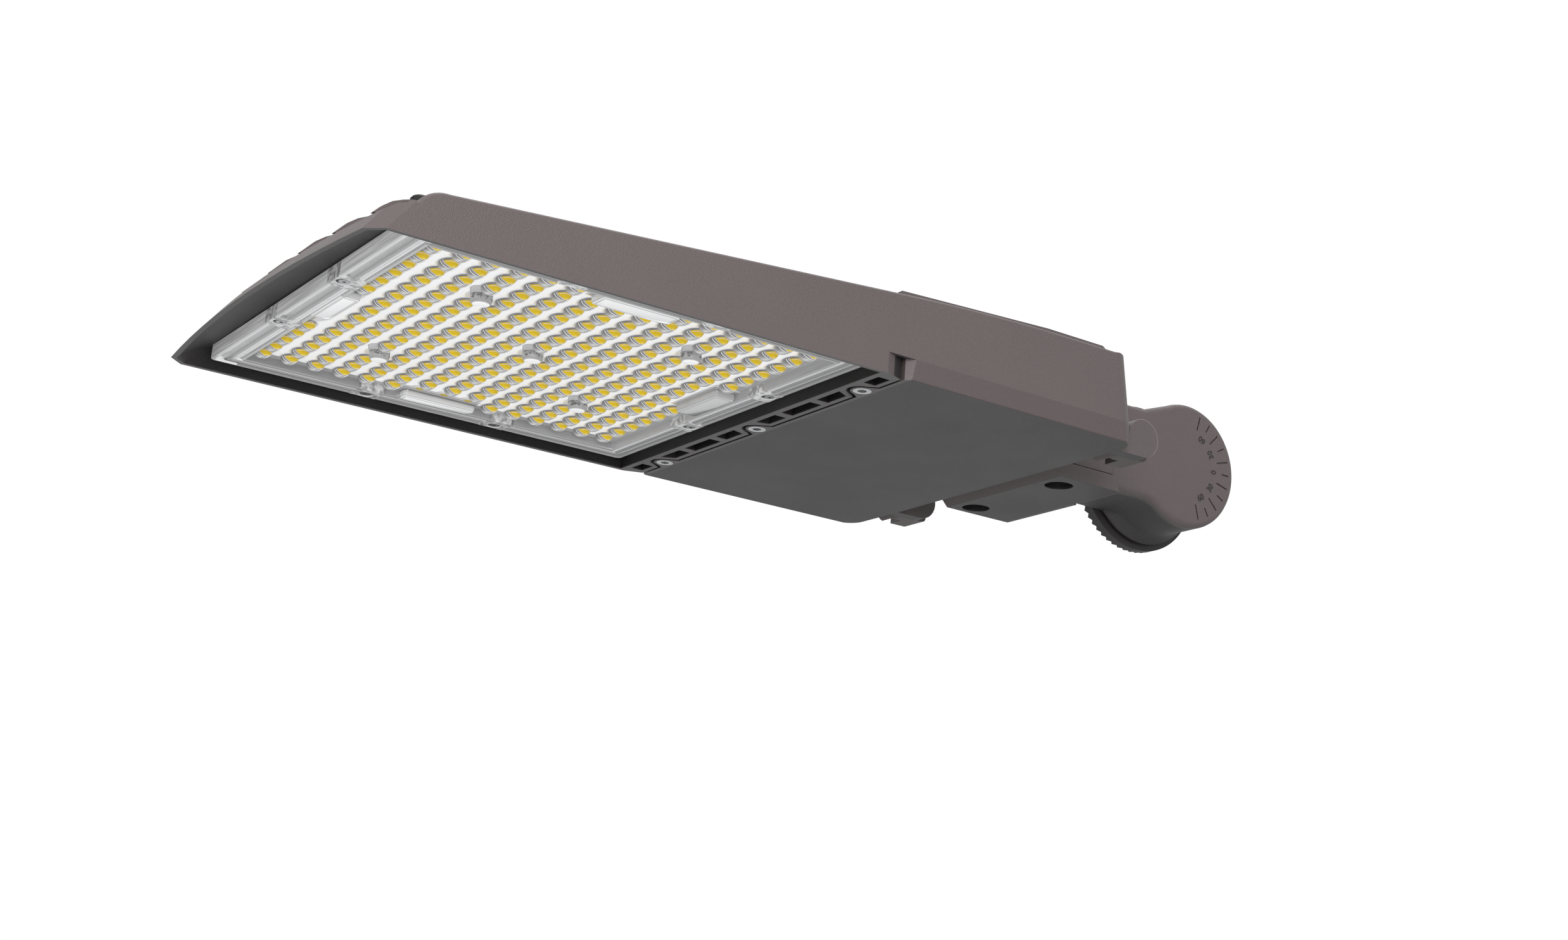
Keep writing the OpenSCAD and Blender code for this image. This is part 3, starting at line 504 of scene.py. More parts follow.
# The frame's cross-section, from its outer wall to the field, in mm from the outer wall and in mm
# above the underside of the frame.
frame_width = 17.5
outer_top = 9.2
inner_top = 7.0
frame_profile = np.array([
    (3.0, outer_top), (0.0, outer_top), (0.0, 0.8), (0.25, 0.25), (0.8, 0.0), (2.0, 0.0), (2.3, 0.3),
    (2.7, 2.0), (5.9, 2.0), (6.3, 0.3), (6.7, 0.0), (8.2, 0.0), (8.6, 0.5), (9.0, 0.5), (9.4, 0.1),
    (10.3, 0.0), (10.7, 1.2), (12.5, 1.2), (12.8, 0.2), (13.2, 0.9), (15.2, 0.9), (15.6, 0.1),
    (16.8, 0.0), (17.4, 0.2), (frame_width, 0.8), (frame_width, inner_top), (15.5, inner_top), (15.5, 2.6),
    (3.0, 2.6)])
screw_pitch = 96 * MM
screw_sites = [-screw_pitch / 2, screw_pitch / 2]
boss_half = 9.5 * MM


def frame_rail(outer, inner):
    """The profile carried along a stretch of the frame: each point lies between the outer outline
    and the field's outline, by its share of the frame's width."""
    outer = np.array(outer)
    inner = np.array(inner)
    share = (frame_profile[:, 0] / frame_width)[None, :, None]
    plan = outer[:, None] * (1 - share) + inner[:, None] * share
    height = np.broadcast_to(frame_z + frame_profile[:, 1] * MM, plan.shape[:2])
    return np.concatenate([plan, height[..., None]], -1)


def frame_outlines(side_x, side_y):
    """Outer and inner points of the corner at one side along X and one along Y, and of the stretch
    between the two screw bosses on its X side."""
    outer_x = plate_high.x if side_x > 0 else plate_low.x
    outer_y = plate_high.y if side_y > 0 else plate_low.y
    inner_x = field_centre.x + side_x * field_half
    inner_y = field_centre.y + side_y * field_half
    start_y = field_centre.y + side_y * (screw_sites[1] + boss_half)
    end_x = field_centre.x + side_x * (screw_sites[1] + boss_half)
    corner_r = 3 * MM
    turn = np.linspace(0, math.pi / 2, 6)
    bend = list(zip(outer_x - side_x * corner_r * (1 - np.cos(turn)),
        outer_y - side_y * corner_r * (1 - np.sin(turn))))
    outer = [(outer_x, start_y)] + bend + [(end_x, outer_y)]
    inner = [(inner_x, start_y)] + [(inner_x, inner_y)] * len(bend) + [(end_x, inner_y)]
    return outer, inner


def frame_shapes():
    """All stretches of the frame: its four corners, and what lies between each side's two bosses."""
    shapes = []
    reach = screw_sites[1] - boss_half
    for side_x in (-1, 1):
        for side_y in (-1, 1):
            shapes.append(frame_rail(*frame_outlines(side_x, side_y)))
        outer_x = plate_high.x if side_x > 0 else plate_low.x
        inner_x = field_centre.x + side_x * field_half
        ends = [field_centre.y - reach, field_centre.y + reach]
        shapes.append(frame_rail([(outer_x, y) for y in ends], [(inner_x, y) for y in ends]))
    for side_y in (-1, 1):
        outer_y = plate_high.y if side_y > 0 else plate_low.y
        inner_y = field_centre.y + side_y * field_half
        ends = [field_centre.x - reach, field_centre.x + reach]
        shapes.append(frame_rail([(x, outer_y) for x in ends], [(x, inner_y) for x in ends]))
    return shapes


def from_edge(finish):
    """Distance in from the outer edge of the plate, at the point on it, in mm."""
    x, y, z = finish.axes()
    across = plate_half.x - (x - plate_centre.x).math("ABSOLUTE")
    along = plate_half.y - (y - plate_centre.y).math("ABSOLUTE")
    return across.math("MINIMUM", along) * (1 / MM)


# What shows through each rail is painted as grey tones: dark where the recess lies behind it, bright over
# the white board, with painted highlights in its grooves.
# Each tone is a distance in from the plate's edge, in mm, and the level of grey there.
rail_tones = [(0, 0.3), (0.8, 0.42), (2.2, 0.3), (3, 0.2), (5.8, 0.19), (6.6, 0.3), (8.2, 0.33),
    (9, 0.24), (10.2, 0.33), (10.9, 0.62), (12.4, 0.58), (13, 0.26), (15.2, 0.24), (15.8, 0.36),
    (17, 0.3), (17.5, 0.28)]
front_tones = [(0, 0.5), (1.5, 0.5), (1.9, 0.78), (3.4, 0.74), (5, 0.6), (6, 0.45), (7.3, 0.2),
    (8, 0.24), (9.4, 0.36), (10.5, 0.36), (11, 0.7), (13, 0.66), (13.5, 0.86), (14.4, 0.8),
    (14.8, 0.26), (15.4, 0.28), (16.2, 0.5), (17.5, 0.36)]
rail_plastic = clear_plastic("clear_rails", 0.1, Coat_Weight=0.7, Coat_Roughness=0.04)
edge_distance = from_edge(rail_plastic)
x, y, z = rail_plastic.axes()
front_rail_end = plate_low.x + frame_width * MM
at_front = 1 - x.rises(front_rail_end - 0.5 * MM, front_rail_end + 0.5 * MM)
rail_tone = rail_plastic.mix(at_front, grey_ramp(rail_plastic, edge_distance, rail_tones),
    grey_ramp(rail_plastic, edge_distance, front_tones))
# The plate's front wall has flow marks drawn out along it.
streaks_to_metre = (400, 22, 700)
drawn_out = rail_plastic.node("ShaderNodeVectorMath", {"operation": "MULTIPLY"},
    rail_plastic.place(), streaks_to_metre)
flow = rail_plastic.noise(1, where=drawn_out)
front_wall = 1 - x.rises(plate_low.x + 0.05 * MM, plate_low.x + 0.15 * MM)
wall_tone = rail_plastic.mix(flow.rises(0.35, 0.65), grey(0.6), grey(0.84))
show(rail_plastic, rail_plastic.mix(front_wall, rail_tone, wall_tone))
finish_piece(mesh_piece("lens_frame", *gathered(frame_shapes()), sharp=35), rail_plastic, "fixture",
    "clear_lens", "lens_plate")

# Bosses at the frame's screws: a block across the frame, with a round hole that shows the screw head.
screw_in = 6.2 * MM
hole_r = 4.1 * MM
boss_steps = 32


def boss_shape(centre, across, width):
    """Rings of points that run up the block's outside, over its underside and into the hole. The
    outside is the block's rectangle, met at each angle round the hole."""
    along = np.array([-across[1], across[0]])
    turn = np.linspace(0, 2 * math.pi, boss_steps, endpoint=False)
    way = np.cos(turn)[:, None] * across + np.sin(turn)[:, None] * along
    out, into = screw_in, width - screw_in
    deep = np.cos(turn)
    wide = np.abs(np.sin(turn))
    tiny = 1e-6
    to_end = np.where(deep > 0, into / np.maximum(deep, tiny), out / np.maximum(-deep, tiny))
    reach = np.minimum(to_end, boss_half / np.maximum(wide, tiny))
    wall_top = np.where(reach * -deep > out - 0.1 * MM, outer_top, inner_top)
    wall = reach - 0.02 * MM
    hole = np.full(boss_steps, hole_r)
    rings = []
    for radius, rise in ((wall, wall_top), (wall, 0.5), (reach - 0.4 * MM, 0.0), (hole + 0.9 * MM, 0.0),
            (hole + 0.6 * MM, 0.35), (hole + 0.2 * MM, 0.35), (hole, 0.7), (hole, inner_top)):
        plan = centre + way * radius[:, None]
        rings.append(np.column_stack([plan, np.broadcast_to(frame_z + rise * MM, boss_steps)]))
    return np.array(rings)


boss_shapes, boss_holes = [], []
for side in (-1, 1):
    for site in screw_sites:
        edge_x = plate_high.x if side > 0 else plate_low.x
        edge_y = plate_high.y if side > 0 else plate_low.y
        wide_x = abs(edge_x - field_centre.x - side * field_half)
        wide_y = abs(edge_y - field_centre.y - side * field_half)
        for centre, across, width in (
                ((edge_x - side * screw_in, field_centre.y + site), (-side, 0), wide_x),
                ((field_centre.x + site, edge_y - side * screw_in), (0, -side), wide_y)):
            boss_shapes.append(boss_shape(np.array(centre), np.array(across), width))
            boss_holes.append(Vector((*centre, 0)))


def nearness(finish, centres, radius):
    """1 within the radius of any of the centres, seen along Z, and 0 outside."""
    x, y, z = finish.axes()
    found = None
    for centre in centres:
        away = (x - centre.x).hypot(y - centre.y)
        near = 1 - away.rises(radius - 0.15 * MM, radius + 0.15 * MM)
        found = near if found is None else found.math("MAXIMUM", near)
    return found


boss_plastic = clear_plastic("clear_bosses", 0.1, Coat_Weight=0.7, Coat_Roughness=0.04)
boss_cloud = boss_plastic.noise(260, 3)
boss_tone = boss_plastic.mix(boss_cloud.rises(0.4, 0.6), grey(0.28), grey(0.62))
# A paler ring round each hole, and the hole itself painted dark as shade.
boss_tone = boss_plastic.mix(nearness(boss_plastic, boss_holes, hole_r + 1.0 * MM), boss_tone, grey(0.55))
boss_tone = boss_plastic.mix(nearness(boss_plastic, boss_holes, hole_r + 0.1 * MM), boss_tone, grey(0.12))
show(boss_plastic, boss_tone)
finish_piece(mesh_piece("lens_bosses", *gathered(boss_shapes), sharp=35), boss_plastic, "fixture",
    "clear_lens", "lens_plate")


def rounded_outline(low, high, radius, steps=5):
    """Points round a rectangle with round corners, in the plan."""
    left, right = low[0] + radius, high[0] - radius
    near, far = low[1] + radius, high[1] - radius
    quarter = np.linspace(0, math.pi / 2, steps + 1)
    arcs = []
    for corner, centre in enumerate(((right, far), (left, far), (left, near), (right, near))):
        angle = quarter + corner * math.pi / 2
        arcs.append(np.array(centre) + radius * np.column_stack([np.cos(angle), np.sin(angle)]))
    return np.concatenate(arcs)


def drafted_block(low, high, radius, rises):
    """A block whose outline draws in as it comes down; each rise is a height above the frame's
    underside and how far the outline is drawn in there, in mm."""
    rings = []
    for rise, drawn_in in rises:
        inset = drawn_in * MM
        outline = rounded_outline((low[0] + inset, low[1] + inset), (high[0] - inset, high[1] - inset),
            max(radius - inset, 0.3 * MM))
        rings.append(np.column_stack([outline, np.full(len(outline), frame_z + rise * MM)]))
    return np.array(rings)


def in_grid(finish, offset):
    """The point's place within its own square of the LED grid, in mm from the square's middle."""
    x, y, z = finish.axes()
    half_grid = led_count / 2 * led_pitch

    def within(value, centre):
        squares = (value - (centre - half_grid)) * (1 / led_pitch)
        return (squares.math("FRACT") - 0.5) * (led_pitch / MM)

    return within(x, field_centre.x + offset[0]), within(y, field_centre.y + offset[1]), z


# Each dome is half an ellipsoid that leans away from its LED, longer across the light.
dome_reach = np.array([5.6, 8.85, 4.76]) * MM
dome_shift = np.array([-2.8, -0.24]) * MM
post_leds = {(3, 3), (3, 11), (7, 7), (11, 3), (11, 11)}


def grid_place(i, j):
    """The middle of the LED in row i and column j, in the plan."""
    return np.array(field_centre.xy) + (np.array([i, j]) - last_led / 2) * led_pitch


# The field is a thin flat sheet between the rails: white over the board, with a pale shadow round
# each dome, and grey past the last LEDs.
field_plastic = clear_plastic("clear_field", 0.08, Coat_Weight=0.5, Coat_Roughness=0.03)
u, v, z = in_grid(field_plastic, dome_shift)
round_dome = (u * (MM / dome_reach[0])).hypot(v * (MM / dome_reach[1]))
field_tone = field_plastic.mix(round_dome.rises(1.0, 1.32), grey(0.6), grey(0.93))
x, y, z = field_plastic.axes()
off_x = (x - field_centre.x).math("ABSOLUTE")
off_y = (y - field_centre.y).math("ABSOLUTE")
past_leds = off_x.math("MAXIMUM", off_y).rises(128.7 * MM, 129.7 * MM)
field_tone = field_plastic.mix(past_leds, field_tone, grey(0.3))

# The upper parts of the cups and of the raised pads show through the sheet as grey walls, drawn out
# from their feet by the slope at which one looks up through it.
seen_shift = Vector((-5.4, -10.4)) * MM
post_r = 6.7 * MM
for led in sorted(post_leds):
    foot = grid_place(*led)
    off_x, off_y = x - foot[0], y - foot[1]
    share = (off_x * seen_shift.x + off_y * seen_shift.y) * (1 / seen_shift.length_squared)
    share = share.math("MINIMUM", 1).math("MAXIMUM", 0)
    away = (off_x - share * seen_shift.x).hypot(off_y - share * seen_shift.y)
    wall = field_plastic.mix(away.rises(post_r * 0.8, post_r * 0.98), grey(0.5), grey(0.36))
    in_post = 1 - away.rises(post_r - 0.2 * MM, post_r + 0.2 * MM)
    field_tone = field_plastic.mix(in_post, field_tone, wall)

# Each pad's low and high corner, in mm from the middle of the field
pad_places = np.array([((-140, -26), (-125.5, 24)), ((119, -26), (136.5, 25)), ((-27, -137), (27, -119)),
    ((-29, 127.8), (25, 141.5))])
pad_corners = np.array(field_centre.xy) + pad_places * MM
for low, high in pad_corners:
    for reach, tone in ((1, 0.24), (0.9, 0.55), (0.35, 0.3)):
        seen_x = x.band(low[0] + seen_shift.x * reach / 2, high[0], 0.15 * MM)
        seen_y = y.band(low[1] + seen_shift.y * reach / 2, high[1], 0.15 * MM)
        field_tone = field_plastic.mix(seen_x * seen_y, field_tone, grey(tone))
show(field_plastic, field_tone)
# The sheet's own colour is darkened and it glows instead: painted light that keeps it as bright, with
# fainter shade round the domes.
field_plastic.colour(field_plastic.mix(0.35, field_tone, grey(0)))
field_plastic.shader.inputs["Emission Strength"].default_value = 0.45
field_low = np.array(field_centre.xy) - field_half
field_high = np.array(field_centre.xy) + field_half
sheet = drafted_block(field_low, field_high, 0.5 * MM, ((inner_top, 0), (sheet_rise, 0)))
finish_piece(mesh_piece("lens_field", *gathered([sheet]), sharp=35), field_plastic, "fixture",
    "clear_lens", "lens_plate")


def has_dome(i, j):
    """Whether that LED is there: some are left out under each pad and at each cup."""
    return not ((i == 0 and 6 <= j <= 9) or (i == last_led and 6 <= j <= 8) or (j == 0 and 6 <= i <= 8)
        or (j == last_led and 6 <= i <= 8) or (i, j) in post_leds)


def dome_shape(i, j):
    """Rings of an ellipsoid's lower half, each at an angle below the field."""
    turn = np.linspace(0, 2 * math.pi, 18, endpoint=False)
    down = np.radians([0, 16, 32, 48, 63, 76, 86])[:, None]
    ring = np.stack(np.broadcast_arrays(np.cos(down) * np.cos(turn), np.cos(down) * np.sin(turn),
        -np.sin(down) * np.ones_like(turn)), -1) * dome_reach
    return ring + np.array([*(grid_place(i, j) + dome_shift), field_z])


def dome_optics():
    """What a dome shows of the LED under it, painted by the place within the dome in mm: the phosphor
    in a wedge at its near end with painted highlights on it, grey bands of painted reflection where it
    mirrors the board, painted light and dark streaks along the wedge's curved edge, which falls back by
    the square of u, a painted dark rim, and a weak glow of painted light."""
    glass = Finish("dome_optics", grey(0.5), 0.14, Coat_Weight=0.25, Coat_Roughness=0.05,
        Specular_IOR_Level=0.3, Emission_Strength=0.2)
    gloss = glass.noise(300, 2)
    glass.feed("Roughness", gloss * 0.08 + 0.08)
    u, v, z = in_grid(glass, dome_shift)
    depth = (field_z - z) * (1 / dome_reach[2])
    slant = u + v * 0.25
    mirror_tones = [(-6.5, 0.16), (-5, 0.18), (-3.9, 0.28), (-2.6, 0.5), (-1.6, 0.62), (-0.6, 0.42),
        (0.3, 0.3), (1.2, 0.56), (2.0, 0.8), (3.4, 0.88)]
    mirror = grey_ramp(glass, slant, mirror_tones)
    mirror = glass.mix(v.rises(1.6, 4) * 0.75, mirror, grey(0.26))
    streaked = 1 - u.rises(-1.4, 0.4)
    past = v - (u + 2) * (u + 2) * 0.13 + 4.75
    streaks = ((2.65, 3.05, 0.18), (1.8, 2.6, 0.7), (0.9, 1.75, 0.14), (0.45, 0.85, 0.56), (-0.3, 0.4, 0.4))
    for low, high, tone in streaks:
        mirror = glass.mix(past.band(low, high, 0.1) * streaked * 0.92, mirror, grey(tone))
    mirror = glass.mix(1 - depth.rises(0.06, 0.22), mirror, grey(0.2))
    edge = past.math("MAXIMUM", v + 4.1)
    wedge = (1 - edge.rises(-0.1, 0.1)) * depth.rises(0.22, 0.26)
    yellow = glass.mix(depth.rises(0.55, 0.95), (0.62, 0.43, 0), (0.7, 0.5, 0.005))
    # A painted highlight: a pale line across the top of the wedge.
    yellow = glass.mix(depth.band(0.35, 0.4, 0.02) * (u + 5).rises(0, 2) * 0.7, yellow, (0.72, 0.7, 0.7))
    # A painted highlight on the wedge's lower part.
    yellow = glass.mix(u.band(0.2, 1.7, 0.5) * v.band(-5.3, -4.4, 0.35) * 0.6, yellow, (0.85, 0.75, 0.35))
    show(glass, glass.mix(wedge, mirror, yellow))
    return glass


domes = [dome_shape(i, j) for i in range(led_count) for j in range(led_count) if has_dome(i, j)]
finish_piece(mesh_piece("lens_domes", *gathered(domes), sharp=60), dome_optics(), "fixture", "clear_lens",
    "lens_plate")

# Raised pads where LEDs are left out, one at the middle of each side: drafted walls and a flat face.
pad_rises = ((6.4, 0), (4.6, 0.3), (1.0, 0.9), (0.3, 1.3), (0.0, 2.0))
pad_r = 3.5 * MM
pad_shapes = [drafted_block(low, high, pad_r, pad_rises) for low, high in pad_corners]
pad_plastic = clear_plastic("clear_pads", 0.08, Coat_Weight=0.8, Coat_Roughness=0.03)
pad_x, pad_y, pad_z = pad_plastic.axes()
pad_tones = [(0, 0.86), (0.25, 0.8), (0.5, 0.35), (1.1, 0.6), (3.4, 0.5), (4.2, 0.22), (4.8, 0.18),
    (5.3, 0.5)]
pad_tone = grey_ramp(pad_plastic, (pad_z - frame_z) * (1 / MM), pad_tones)
pad_rim = 1 - pad_z.rises(frame_z + 0.02 * MM, frame_z + 0.1 * MM)
rim_w = 3.6 * MM
for low, high in pad_corners:
    on_face = (pad_x.band(low[0] + rim_w, high[0] - rim_w, 0.1 * MM)
        * pad_y.band(low[1] + rim_w, high[1] - rim_w, 0.1 * MM))
    pad_rim = pad_rim * (1 - on_face)
pad_tone = pad_plastic.mix(pad_rim, pad_tone, grey(0.55))
at_rear = pad_x.rises(field_centre.x + 100 * MM, field_centre.x + 101 * MM)
pad_tone = pad_plastic.mix(at_rear * 0.65, pad_tone, grey(0.3))
show(pad_plastic, pad_tone)
finish_piece(mesh_piece("lens_pads", *gathered(pad_shapes), sharp=40), pad_plastic, "fixture",
    "clear_lens", "lens_plate")

# Cups round the five screws in the field: glassy walls that draw in, and a flat bottom. What the clear
# cups show is painted on by height as painted refraction: a pale bottom, grey walls and dark blots in them.
post_profile = np.array([(post_r / MM, 6.5), (post_r / MM, 3.4), (6.55, 2.2), (6.25, 1.2),
    (5.8, 0.55), (5.2, 0.15), (4.7, 0.0), (2.0, 0.0)]) * MM


def post_shape(i, j):
    """The profile, of radii and heights, turned about the upright line through that LED."""
    turn = np.linspace(0, 2 * math.pi, 36, endpoint=False)
    radius, rise = post_profile[:, :1], post_profile[:, 1:]
    centre = grid_place(i, j)
    return np.stack(np.broadcast_arrays(centre[0] + radius * np.cos(turn),
        centre[1] + radius * np.sin(turn), frame_z + rise), -1)


post_plastic = clear_plastic("clear_posts", 0.07, Coat_Weight=0.8, Coat_Roughness=0.03)
post_z = post_plastic.axes()[2]
post_tones = [(0, 0.95), (0.08, 0.9), (0.2, 0.4), (0.6, 0.3), (1.4, 0.32), (2.2, 0.4), (3.6, 0.34),
    (5.5, 0.26)]
post_tone = grey_ramp(post_plastic, (post_z - frame_z) * (1 / MM), post_tones)
post_cloud = post_plastic.noise(420, 3)
refracted_post_blots = post_cloud.rises(0.52, 0.6) * post_z.rises(frame_z + 1.6 * MM, frame_z + 2.2 * MM)
post_tone = post_plastic.mix(refracted_post_blots, post_tone, grey(0.12))
show(post_plastic, post_tone)
posts = [post_shape(i, j) for i, j in sorted(post_leds)]
finish_piece(mesh_piece("lens_posts", *gathered(posts), sharp=35), post_plastic, "fixture", "clear_lens",
    "lens_plate")

# Three LEDs show through the flat window at the far side, drawn out by the slope of the plate. Their
# places are in mm from the middle of the field.
seen_led_near, seen_led_far = 122.8, 126.2
seen_led_half = 2.5
seen_leds = []
for seen_led_x in (-19.7, -1.6, 16.3):
    low = np.array(field_centre.xy) + np.array([seen_led_x - seen_led_half, seen_led_near]) * MM
    high = np.array(field_centre.xy) + np.array([seen_led_x + seen_led_half, seen_led_far]) * MM
    seen_leds.append(drafted_block(low, high, 0.5 * MM, ((6.5, 0), (5.3, 0))))
finish_piece(mesh_piece("window_leds", *gathered(seen_leds), smooth=False), chip_yellow, "fixture",
    "led_yellow")

# ---- Screws of the lens plate ----
# Bright stainless socket screws, which pass through the plate's cups and bosses into the casting.
# The captive rings, the hinge pins and the screws inside the bay are of the same steel.
bright_steel = Finish("stainless_steel", (0.66, 0.66, 0.67), 0.28, Metallic=1)
steel_grain = bright_steel.noise(500, 2)
bright_steel.feed("Roughness", steel_grain * 0.18 + 0.2)
dress(bright_steel, "lens_screws", "captive_rings", "hinge_pins", "driver_screws", "surge_screws",
    "terminal_screws")

# ---- Driver door ----
# A shallow cast tray that closes the driver bay, in the same powder coat. Two ears swing on the
# hinge pins, and three tabs hold its captive screws.
tab_end = door_low.x + 15 * MM
ears_start = door_high.x - 27 * MM


def on_door_rim(x, y, z):
    """The lower edge all round the tray, without its tabs and ears."""
    return z < 0.01 and tab_end / MM - 1 < x - pivot.x < ears_start / MM


door_paint = powder_coat("door_powder_coat", bronze)
door_casting = rounded("door", "door_casting", [(0.8, 2, 20, on_door_rim)])
finish_piece(door_casting, door_paint, "door", "bronze_paint", "door")

# The tray's walls turn away from the light and are painted darker as shade; its tabs stand in the gap
# behind the slots and are painted near black as the shade there. Its flat underside faces down and is
# painted darker as shade, but the tabs' own undersides are painted lighter, as the web is. The ears are
# painted lighter, as they catch the light again, with a painted highlight along their round edge.
shaded_wall_bronze = tuple(c * 0.86 for c in bronze)
underside_shade_grey = (0.041, 0.039, 0.0395)
gap_shade_black = (0.004, 0.004, 0.004)
ear_bronze = (0.066, 0.056, 0.056)
ear_edge_highlight = (0.15, 0.135, 0.132)
gap_half_width = 150 * MM
ear_r = 13.2 * MM
x, y, z = door_paint.axes()
off_middle = (y - middle_y).math("ABSOLUTE")
above = z - door_low.z
on_tab = 1 - x.rises(tab_end - 0.2 * MM, tab_end + 0.2 * MM)
level = 1 - above.rises(0.05 * MM, 0.15 * MM)
repaint(door_paint, 1 - x.rises(ears_start - 0.1 * MM, ears_start + 0.1 * MM), shaded_wall_bronze)
in_gap = ((1 - x.rises(web_end, web_end + 0.2 * MM)) * above.rises(0.4 * MM, 0.8 * MM)
    * (1 - off_middle.rises(gap_half_width, gap_half_width + 0.3 * MM)))
repaint(door_paint, in_gap, gap_shade_black)
repaint(door_paint, level, underside_shade_grey)
ear_x, ear_z = x - (door_high.x - ear_r), above - ear_r
on_ear = x.rises(ears_start, ears_start + 0.2 * MM)
repaint(door_paint, on_ear * (1 - level), ear_bronze)
ear_line = ear_x.hypot(ear_z).band(ear_r - 0.5 * MM, ear_r - 0.1 * MM, 0.1 * MM)
lit_side = (ear_x + ear_z).rises(-9 * MM, 6 * MM)
# A painted highlight along the ears' round edge, on their lit side.
repaint(door_paint, on_ear * ear_line * lit_side * (1 - level), ear_edge_highlight)
repaint(door_paint, on_tab * level, lit_underside_bronze)

# ---- Door screws ----
# Stainless screws with a hexagon socket. A ring behind each tab holds the screw's neck, so that an
# undone screw stays on the door.
dress(bright_steel, "door_screw_near", "door_screw_middle", "door_screw_far")

# ---- Inside the driver bay ----
# An aluminium driver, a black surge protector and a white terminal block, screwed to bosses in the
# bay's roof and joined by short leads.
driver_case = Finish("driver_case", (0.62, 0.62, 0.62), 0.4, Metallic=0.8)
driver_case.bump(driver_case.noise(400, 2), 0.0002, 0.2)
dress(driver_case, "led_driver")
dress(plug_plastic, "surge_protector", "input_leads")
white_nylon = Finish("white_nylon", (0.8, 0.8, 0.78), 0.5)
white_nylon.bump(white_nylon.noise(600, 2), 0.0001, 0.2)
dress(white_nylon, "terminal_block", "output_lead")
green_zinc = Finish("green_plating", (0.03, 0.22, 0.08), 0.35, Metallic=0.5)
green_zinc.bump(green_zinc.noise(700, 2), 0.0001, 0.2)
dress(green_zinc, "ground_screw")

# ---- Arm bolts and washers ----
# Two steel bolts and washers with a dull black oxide hold the arm to the housing. They sit deep in
# the wells of the arm's foot.
black_oxide = Finish("black_oxide", (0.02, 0.02, 0.02), 0.45, Metallic=0.6)
oxide_grain = black_oxide.noise(600, 2)
black_oxide.feed("Roughness", oxide_grain * 0.2 + 0.4)
dress(black_oxide, "arm_bolts", "arm_washers")

# ---- Mount arm ----
# A cast arm bolted to the housing's tongue. It ends in a drum with a graduated disc on one side and
# a toothed flange on the other; the disc's edge is well rounded.
# Places on its CAD mesh, in mm as the pivot is
knuckle_r = 44
near_face_y = -65.4
pocket_start_x, pocket_end_x = 380, 431
pocket_low_z, pocket_top_z = 8, 54
foot_top_z = 12
foot_end_x = 435.1


def on_disc_edge(x, y, z):
    """The edges of the disc's face, apart from the arm's pocket, its foot and the dial's own marks."""
    in_pocket = pocket_start_x < x < pocket_end_x and pocket_low_z < z < pocket_top_z
    on_foot = z < foot_top_z and x < foot_end_x
    on_dial = math.hypot(x - pivot.x, z - pivot.z) < knuckle_r
    return y < near_face_y and not (in_pocket or on_foot or on_dial)


arm_paint = powder_coat("arm_powder_coat", bronze)
arm_casting = rounded("mount_arm", "arm_casting", [(4.5, 4, 20, on_disc_edge)])
finish_piece(arm_casting, arm_paint, "fixture", "bronze_paint", "mount_arm")
dress(arm_paint, "arm_side_cover")

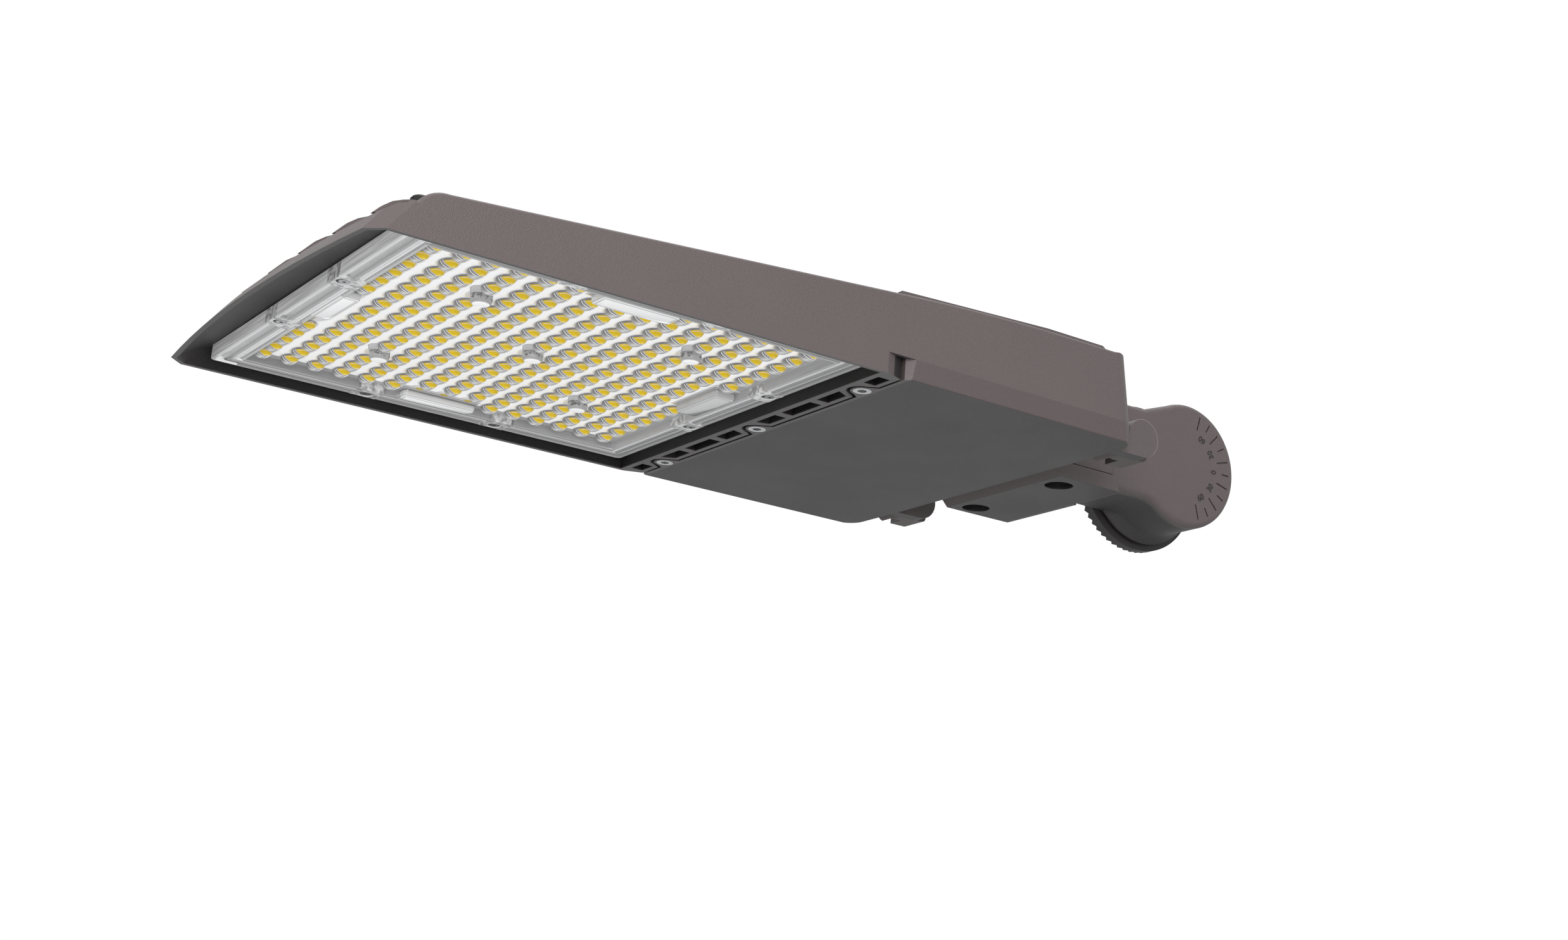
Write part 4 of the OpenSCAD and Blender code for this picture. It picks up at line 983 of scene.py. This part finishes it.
# The dial's ticks and the bolts' wells lie in their own shade, painted darker; the arm's underside and
# the arm behind the disc are painted darker as shade too.
dial_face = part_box("mount_arm")[0].y
foot_end = -66 * MM
disc_start = -60 * MM
well_r = 10.3 * MM
well_top = 5 * MM
foot_grey = (0.037, 0.0355, 0.0355)
tick_shade = (0.018, 0.015, 0.015)
well_black = (0.006, 0.006, 0.006)
bolt_low, bolt_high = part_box("arm_bolts")
bolt_reach = (bolt_high.x - bolt_low.x) / 2
bolt_x = bolt_low.x + bolt_reach
wells = [Vector((bolt_x, bolt_y, 0)) for bolt_y in (bolt_low.y + bolt_reach, bolt_high.y - bolt_reach)]
x, y, z = arm_paint.axes()
above = z - housing_low.z
on_foot = (1 - above.rises(0.1 * MM, 0.3 * MM)) * (1 - x.rises(foot_end - 1 * MM, foot_end))
repaint(arm_paint, on_foot, foot_grey)
behind_disc = (y.rises(dial_face + 4.5 * MM, dial_face + 9 * MM)
    * x.rises(disc_start - 2 * MM, disc_start) * (1 - z.rises(-8 * MM, 12 * MM)))
shade = arm_paint.mix(x.rises(-40 * MM, 30 * MM), (0.024, 0.022, 0.022), (0.006, 0.0055, 0.0055))
repaint(arm_paint, behind_disc, shade)
ticks = (x.hypot(z).band(27.5 * MM, 41.5 * MM, 0.05 * MM)
    * y.band(dial_face + 0.05 * MM, dial_face + 3 * MM, 0.02 * MM))
repaint(arm_paint, ticks, tick_shade)
in_well = nearness(arm_paint, wells, well_r) * z.band(housing_low.z + 0.5 * MM, well_top, 0.1 * MM)
repaint(arm_paint, in_well, well_black)

# Plain numbers stand round the dial, in the same kind of powder coat, painted nearly black as shade.
number_paint = powder_coat("dial_numbers", (0.01, 0.0085, 0.0085))
number_r = 25.2 * MM
for angle in (-60, -30, 0, 30, 60):
    letters = bpy.data.curves.new("dial_letters", "FONT")
    letters.body = str(abs(angle))
    letters.size = 6.5 * MM
    letters.extrude = 0.12 * MM
    letters.offset = 0.12 * MM
    letters.align_x = "CENTER"
    letters.align_y = "CENTER"
    written = bpy.data.objects.new("dial_letters", letters)
    bpy.context.scene.collection.objects.link(written)
    bpy.context.view_layer.update()
    number_mesh = bpy.data.meshes.new_from_object(written)
    bpy.data.objects.remove(written)
    turn = math.radians(angle)
    out = Vector((math.cos(turn), 0, math.sin(turn)))
    face = Vector((0, -1, 0))
    middle = out * number_r + Vector((0, dial_face - 0.1 * MM, 0))
    upright = Matrix((face.cross(out), -out, face)).transposed().to_4x4()
    number_mesh.transform(Matrix.Translation(middle) @ upright)
    number = bpy.data.objects.new(f"dial_number_{angle + 60:03d}", number_mesh)
    bpy.context.scene.collection.objects.link(number)
    finish_piece(number, number_paint, "fixture", "bronze_paint")
